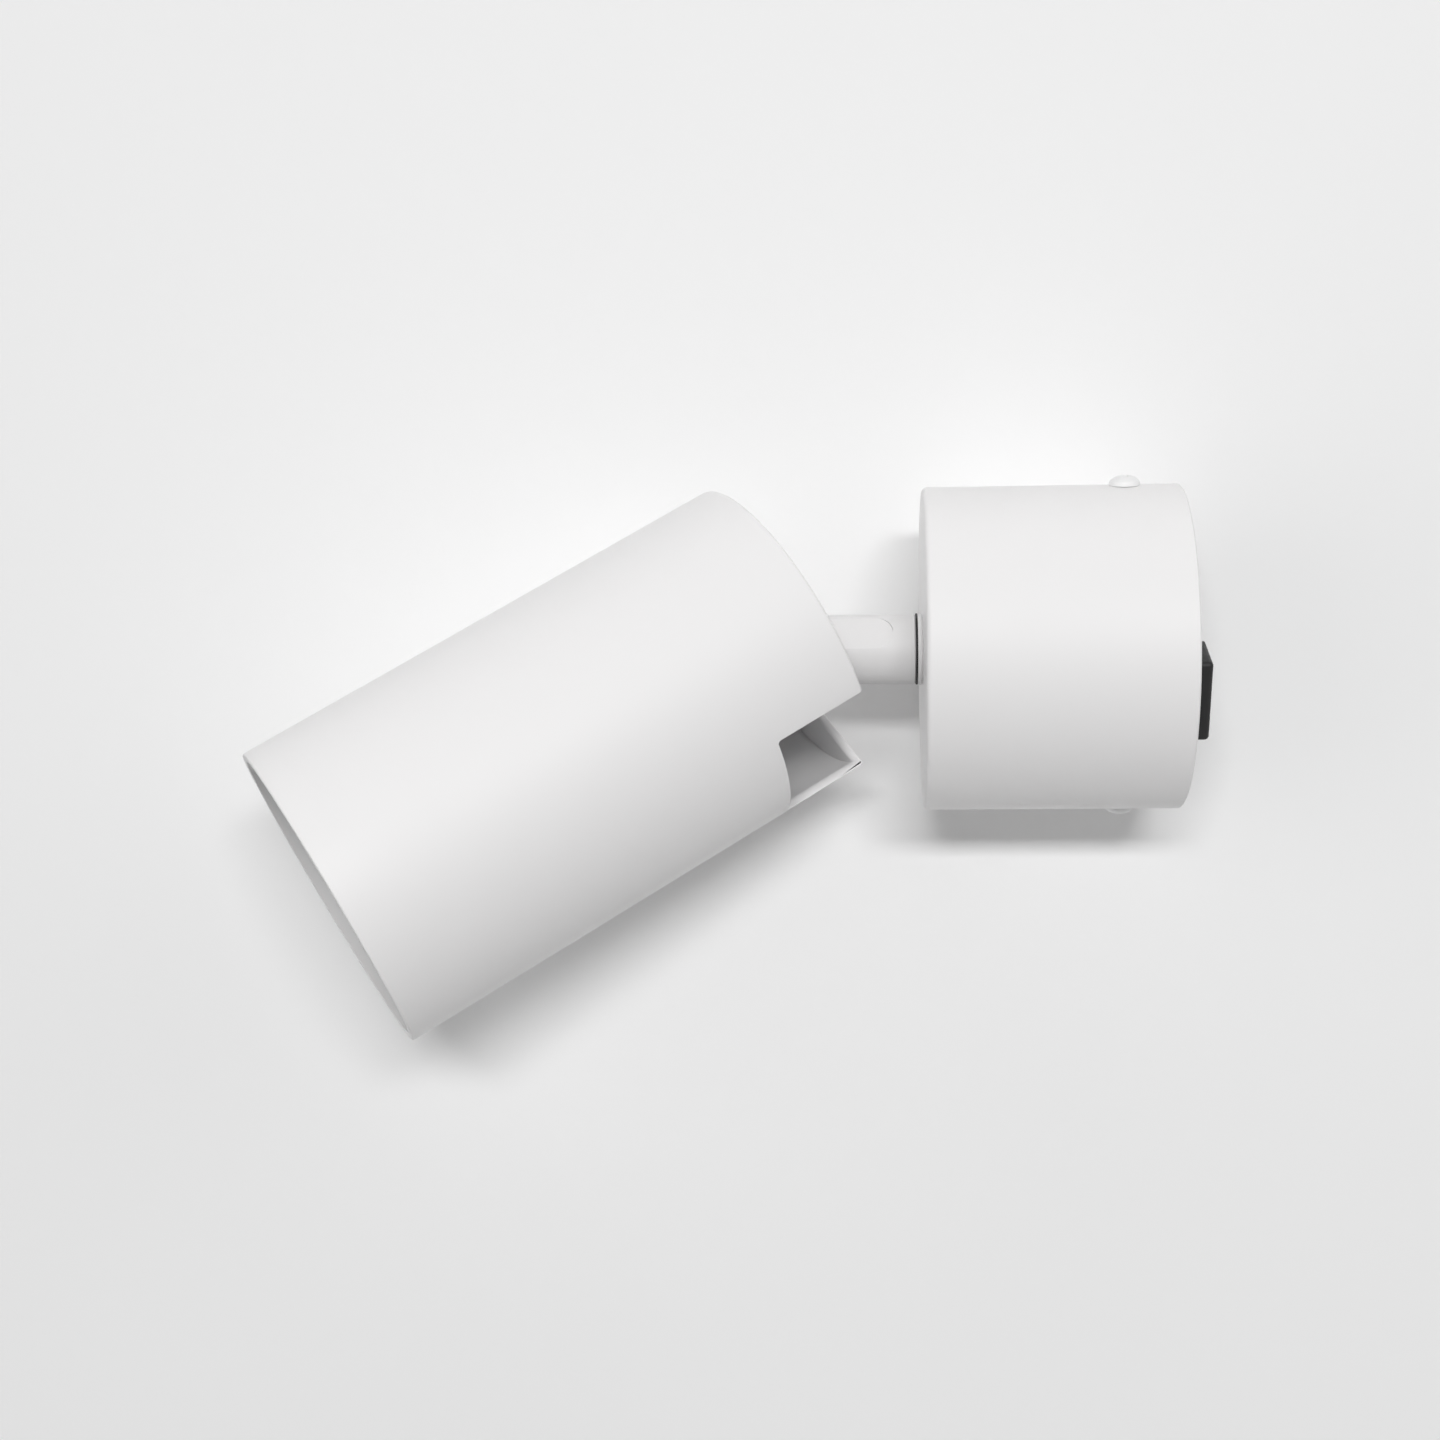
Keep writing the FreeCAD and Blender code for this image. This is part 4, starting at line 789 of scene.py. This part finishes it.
class SPOTLIGHT_OT_head(bpy.types.Operator):
    """Turn the head's cup, cut its slot and notch and round their edges"""
    bl_idname = "spotlight.head"
    bl_label = "Head"
    bl_options = {"REGISTER", "UNDO"}

    # rounds of the cup's outline: steps in from the wall and in from its end
    inner_lip = ((0, 0.2), (-0.2, 0))
    outer_lip = ((0.3, 0), (0.09, 0.09), (0, 0.3))
    rear_round = ((0, 0.7), (0.09, 0.35), (0.35, 0.09), (0.7, 0))

    def execute(self, context):
        sizes = context.scene.spotlight_sizes
        inner, outer, front, end, rear = 28.1, 29.6, -89.7, 6.8, 8.3
        cup = lathe([(0, end), (inner, end)]
                    + [(inner - aside, front + along) for aside, along in self.inner_lip]
                    + [(outer - aside, front + along) for aside, along in self.outer_lip]
                    + [(outer - aside, rear - along) for aside, along in self.rear_round]
                    + [(0, rear)], steps=90)

        half_width, clear = 13.2, 9.8
        notch_front, notch_reach, notch_corner = -9.9, 60, 0.6
        slot_back, slot_low, slot_reach, slot_corner = -7.5, 3, 31, 4.0
        notch = bar((0, -half_width, notch_front), (notch_reach, half_width, clear), notch_corner,
                    lambda a, b: a.z < 0 and b.z < 0 and a.y == b.y)
        slot = bar((slot_back, -half_width, slot_low), (slot_reach, half_width, clear),
                   slot_corner, lambda a, b: a.x < 0 and b.x < 0 and a.y == b.y)
        cup = carve(carve(cup, slot), notch)
        bmesh.ops.remove_doubles(cup, verts=cup.verts[:], dist=MERGE_CUT)
        bmesh.ops.dissolve_degenerate(cup, dist=MERGE_CUT, edges=cup.edges[:])

        # the inside of the openings' rims first, then the outside
        least_angle, margin, cut_front = 0.8, 0.1, -12
        for width, inside in ((sizes.rim_round / MM, True), (sizes.coat_edge / MM, False)):
            rim = [edge for edge in cup.edges
                   if edge.is_convex and edge.calc_face_angle() > least_angle
                   and all((vert.co.xy.length < inner + margin and vert.co.z < end + margin)
                           == inside and cut_front < vert.co.z for vert in edge.verts)]
            round_edges(cup, rim, width, segments=4)

        boss_radius, boss_top, hole_radius, hole_top = 3.5, 7.5, 1.55, -5
        bosses = []
        for angle in BOSS_ANGLES:
            boss = lathe([(0, hole_top), (hole_radius, hole_top), (hole_radius, BULKHEAD_REAR),
                          (boss_radius, BULKHEAD_REAR), (boss_radius, boss_top), (0, boss_top)],
                         steps=32)
            bmesh.ops.transform(boss, verts=boss.verts[:],
                                matrix=Matrix.Rotation(math.radians(angle), 4, "Z")
                                @ Matrix.Translation((BOSS_REACH, 0, 0)))
            bosses.append(boss)
        even_shading(settle(joined(cup, *bosses), "head_coated", "head_tube", (HEAD,), crease=50))
        return {"FINISHED"}


# ---- stage --------------------------------------------------------------------------------
# name, turns up and to the side as seen from the camera in degrees, height and width in metres,
# and watts
LAMPS = (
    ("Key strip", 13.3, 3.0, 0.12, 0.62, 9.3),
    ("Head side softbox", 0, -45, 0.9, 0.9, 1.3),
    ("Ceiling side softbox", 30, 40, 0.9, 0.9, 0.8),
    ("Edge softbox", 85, 0, 0.9, 0.9, 2.6),
    ("Back softbox", 180, 0, 0.9, 0.9, 2.0),
)
LAMP_DISTANCE = 1.3
MIDDLE = Vector((0, 0, -0.06))
WORLD_LIGHT = 0.25   # what lights the fitting from all round
WORLD_PALE = 0.86    # what the camera and reflections see of it

# in metres: half the table's width, and where its middle is
TABLE_REACH = 3
TABLE_MIDDLE = -0.05

# the camera stands across from the fitting, with the ceiling end to its right
CAMERA_PLACE = (0.0132, -0.4028, -0.0576)
CAMERA_RIGHT = (0.0083, 0.0678, 0.9977)
CAMERA_UP = (-0.99997, 0.0, 0.0084)
CAMERA_LENS = 53.7


def lay_table(colours, sizes):
    """A plain table behind the fitting that can be seen only from the front."""
    form = bmesh.new()
    back = cad_box[1][1] + sizes.table_gap
    bmesh.ops.create_grid(form, x_segments=1, y_segments=1, size=TABLE_REACH,
                          matrix=Matrix.Translation((0, back, TABLE_MIDDLE))
                          @ Matrix.Rotation(math.pi / 2, 4, "X"))
    mesh = bpy.data.meshes.new("table")
    form.to_mesh(mesh)
    form.free()
    table = bpy.data.objects.new("table", mesh)
    bpy.context.scene.collection.objects.link(table)
    material = finish("Pale laminate", colours.table, roughness=0.85, grain_mm=2.0,
                      relief_mm=0.002, fine_mm=0.8, fine_relief_mm=0.001, tint=0.002,
                      patch_mm=90.0, plain={"Specular IOR Level": 0.1})
    tree = material.node_tree
    far_side = add_node(tree, "ShaderNodeNewGeometry").outputs["Backfacing"]
    clear = add_node(tree, "ShaderNodeBsdfTransparent").outputs[0]
    one_way = add_node(tree, "ShaderNodeMixShader",
                       {0: far_side, 1: tree.nodes["Principled BSDF"].outputs[0], 2: clear})
    tree.links.new(one_way.outputs[0], tree.nodes["Material Output"].inputs["Surface"])
    mesh.materials.append(material)
    return table


def light_room():
    """A dim even room that looks pale to the camera and in reflections."""
    world = bpy.data.worlds.new("Pale room")
    bpy.context.scene.world = world
    world.use_nodes = True
    tree = world.node_tree
    white = (1, 1, 1, 1)
    room = tree.nodes["Background"]
    room.inputs["Color"].default_value = white
    room.inputs["Strength"].default_value = WORLD_LIGHT
    pale = add_node(tree, "ShaderNodeBackground",
                    {"Color": white, "Strength": WORLD_PALE}).outputs[0]
    path = add_node(tree, "ShaderNodeLightPath").outputs
    seen = path["Is Camera Ray"]
    for kind in ("Is Glossy Ray", "Is Transmission Ray"):
        seen = add_node(tree, "ShaderNodeMath", {0: seen, 1: path[kind]},
                        operation="MAXIMUM").outputs[0]
    mixed = add_node(tree, "ShaderNodeMixShader", {0: seen, 1: room.outputs[0], 2: pale})
    tree.links.new(mixed.outputs[0], tree.nodes["World Output"].inputs["Surface"])


def hang_lamps(table):
    """Softboxes aimed at the fitting. The one behind the table shines through it."""
    passes = bpy.data.collections.new("Lets the back light through")
    passes.objects.link(table)
    passes.collection_objects[0].light_linking.link_state = "EXCLUDE"
    for name, up, side, height, width, power in LAMPS:
        a, b = math.radians(up), math.radians(side)
        away = Vector((-math.sin(a) * math.cos(b), -math.cos(a) * math.cos(b), math.sin(b)))
        lamp = bpy.data.lights.new(name, "AREA")
        lamp.shape = "RECTANGLE"
        lamp.size = height
        lamp.size_y = width
        lamp.energy = power
        holder = bpy.data.objects.new(name, lamp)
        bpy.context.scene.collection.objects.link(holder)
        holder.matrix_world = (Matrix.Translation(MIDDLE + away * LAMP_DISTANCE)
                               @ (-away).to_track_quat("-Z", "Y").to_matrix().to_4x4())
        if away.y * LAMP_DISTANCE > cad_box[1][1]:
            holder.light_linking.blocker_collection = passes


def set_camera():
    """The camera, standing across from the fitting."""
    eye = bpy.data.cameras.new("camera")
    eye.lens = CAMERA_LENS
    holder = bpy.data.objects.new("camera", eye)
    bpy.context.scene.collection.objects.link(holder)
    right = Vector(CAMERA_RIGHT).normalized()
    toward = right.cross(Vector(CAMERA_UP)).normalized()
    turn = Matrix((right, toward.cross(right), toward)).transposed().to_4x4()
    holder.matrix_world = Matrix.Translation(CAMERA_PLACE) @ turn
    bpy.context.scene.camera = holder


class SPOTLIGHT_OT_stage(bpy.types.Operator):
    """Lay the table, light the room and set the camera"""
    bl_idname = "spotlight.stage"
    bl_label = "Stage"
    bl_options = {"REGISTER", "UNDO"}

    def execute(self, context):
        context.scene.view_settings.view_transform = "Standard"
        table = lay_table(context.scene.spotlight_colours, context.scene.spotlight_sizes)
        light_room()
        hang_lamps(table)
        set_camera()
        return {"FINISHED"}


# ---- add-on -------------------------------------------------------------------------------
MAKERS = (
    SPOTLIGHT_OT_canopy, SPOTLIGHT_OT_side_screws, SPOTLIGHT_OT_bracket, SPOTLIGHT_OT_terminal,
    SPOTLIGHT_OT_swivel, SPOTLIGHT_OT_knuckle, SPOTLIGHT_OT_bulkhead, SPOTLIGHT_OT_lampholder,
    SPOTLIGHT_OT_lamp, SPOTLIGHT_OT_baffle, SPOTLIGHT_OT_head, SPOTLIGHT_OT_stage,
)


class SPOTLIGHT_PT_pieces(bpy.types.Panel):
    """The fitting's pieces and settings"""
    bl_label = "Ceiling Spotlight"
    bl_space_type = "VIEW_3D"
    bl_region_type = "UI"
    bl_category = "Spotlight"

    def draw(self, context):
        for maker in MAKERS:
            self.layout.operator(maker.bl_idname)
        for group in (context.scene.spotlight_sizes, context.scene.spotlight_colours):
            for name in group.__annotations__:
                self.layout.prop(group, name)


CLASSES = (SpotlightSizes, SpotlightColours, *MAKERS, SPOTLIGHT_PT_pieces)


def register():
    """Make the settings, the operators and the panel known."""
    for kind in CLASSES:
        bpy.utils.register_class(kind)
    bpy.types.Scene.spotlight_sizes = PointerProperty(type=SpotlightSizes)
    bpy.types.Scene.spotlight_colours = PointerProperty(type=SpotlightColours)


def unregister():
    """Take them away again."""
    del bpy.types.Scene.spotlight_colours
    del bpy.types.Scene.spotlight_sizes
    for kind in reversed(CLASSES):
        bpy.utils.unregister_class(kind)


def main():
    """Make every piece in order."""
    register()
    for maker in MAKERS:
        group, name = maker.bl_idname.split(".")
        getattr(getattr(bpy.ops, group), name)()


if __name__ == "__main__":
    main()
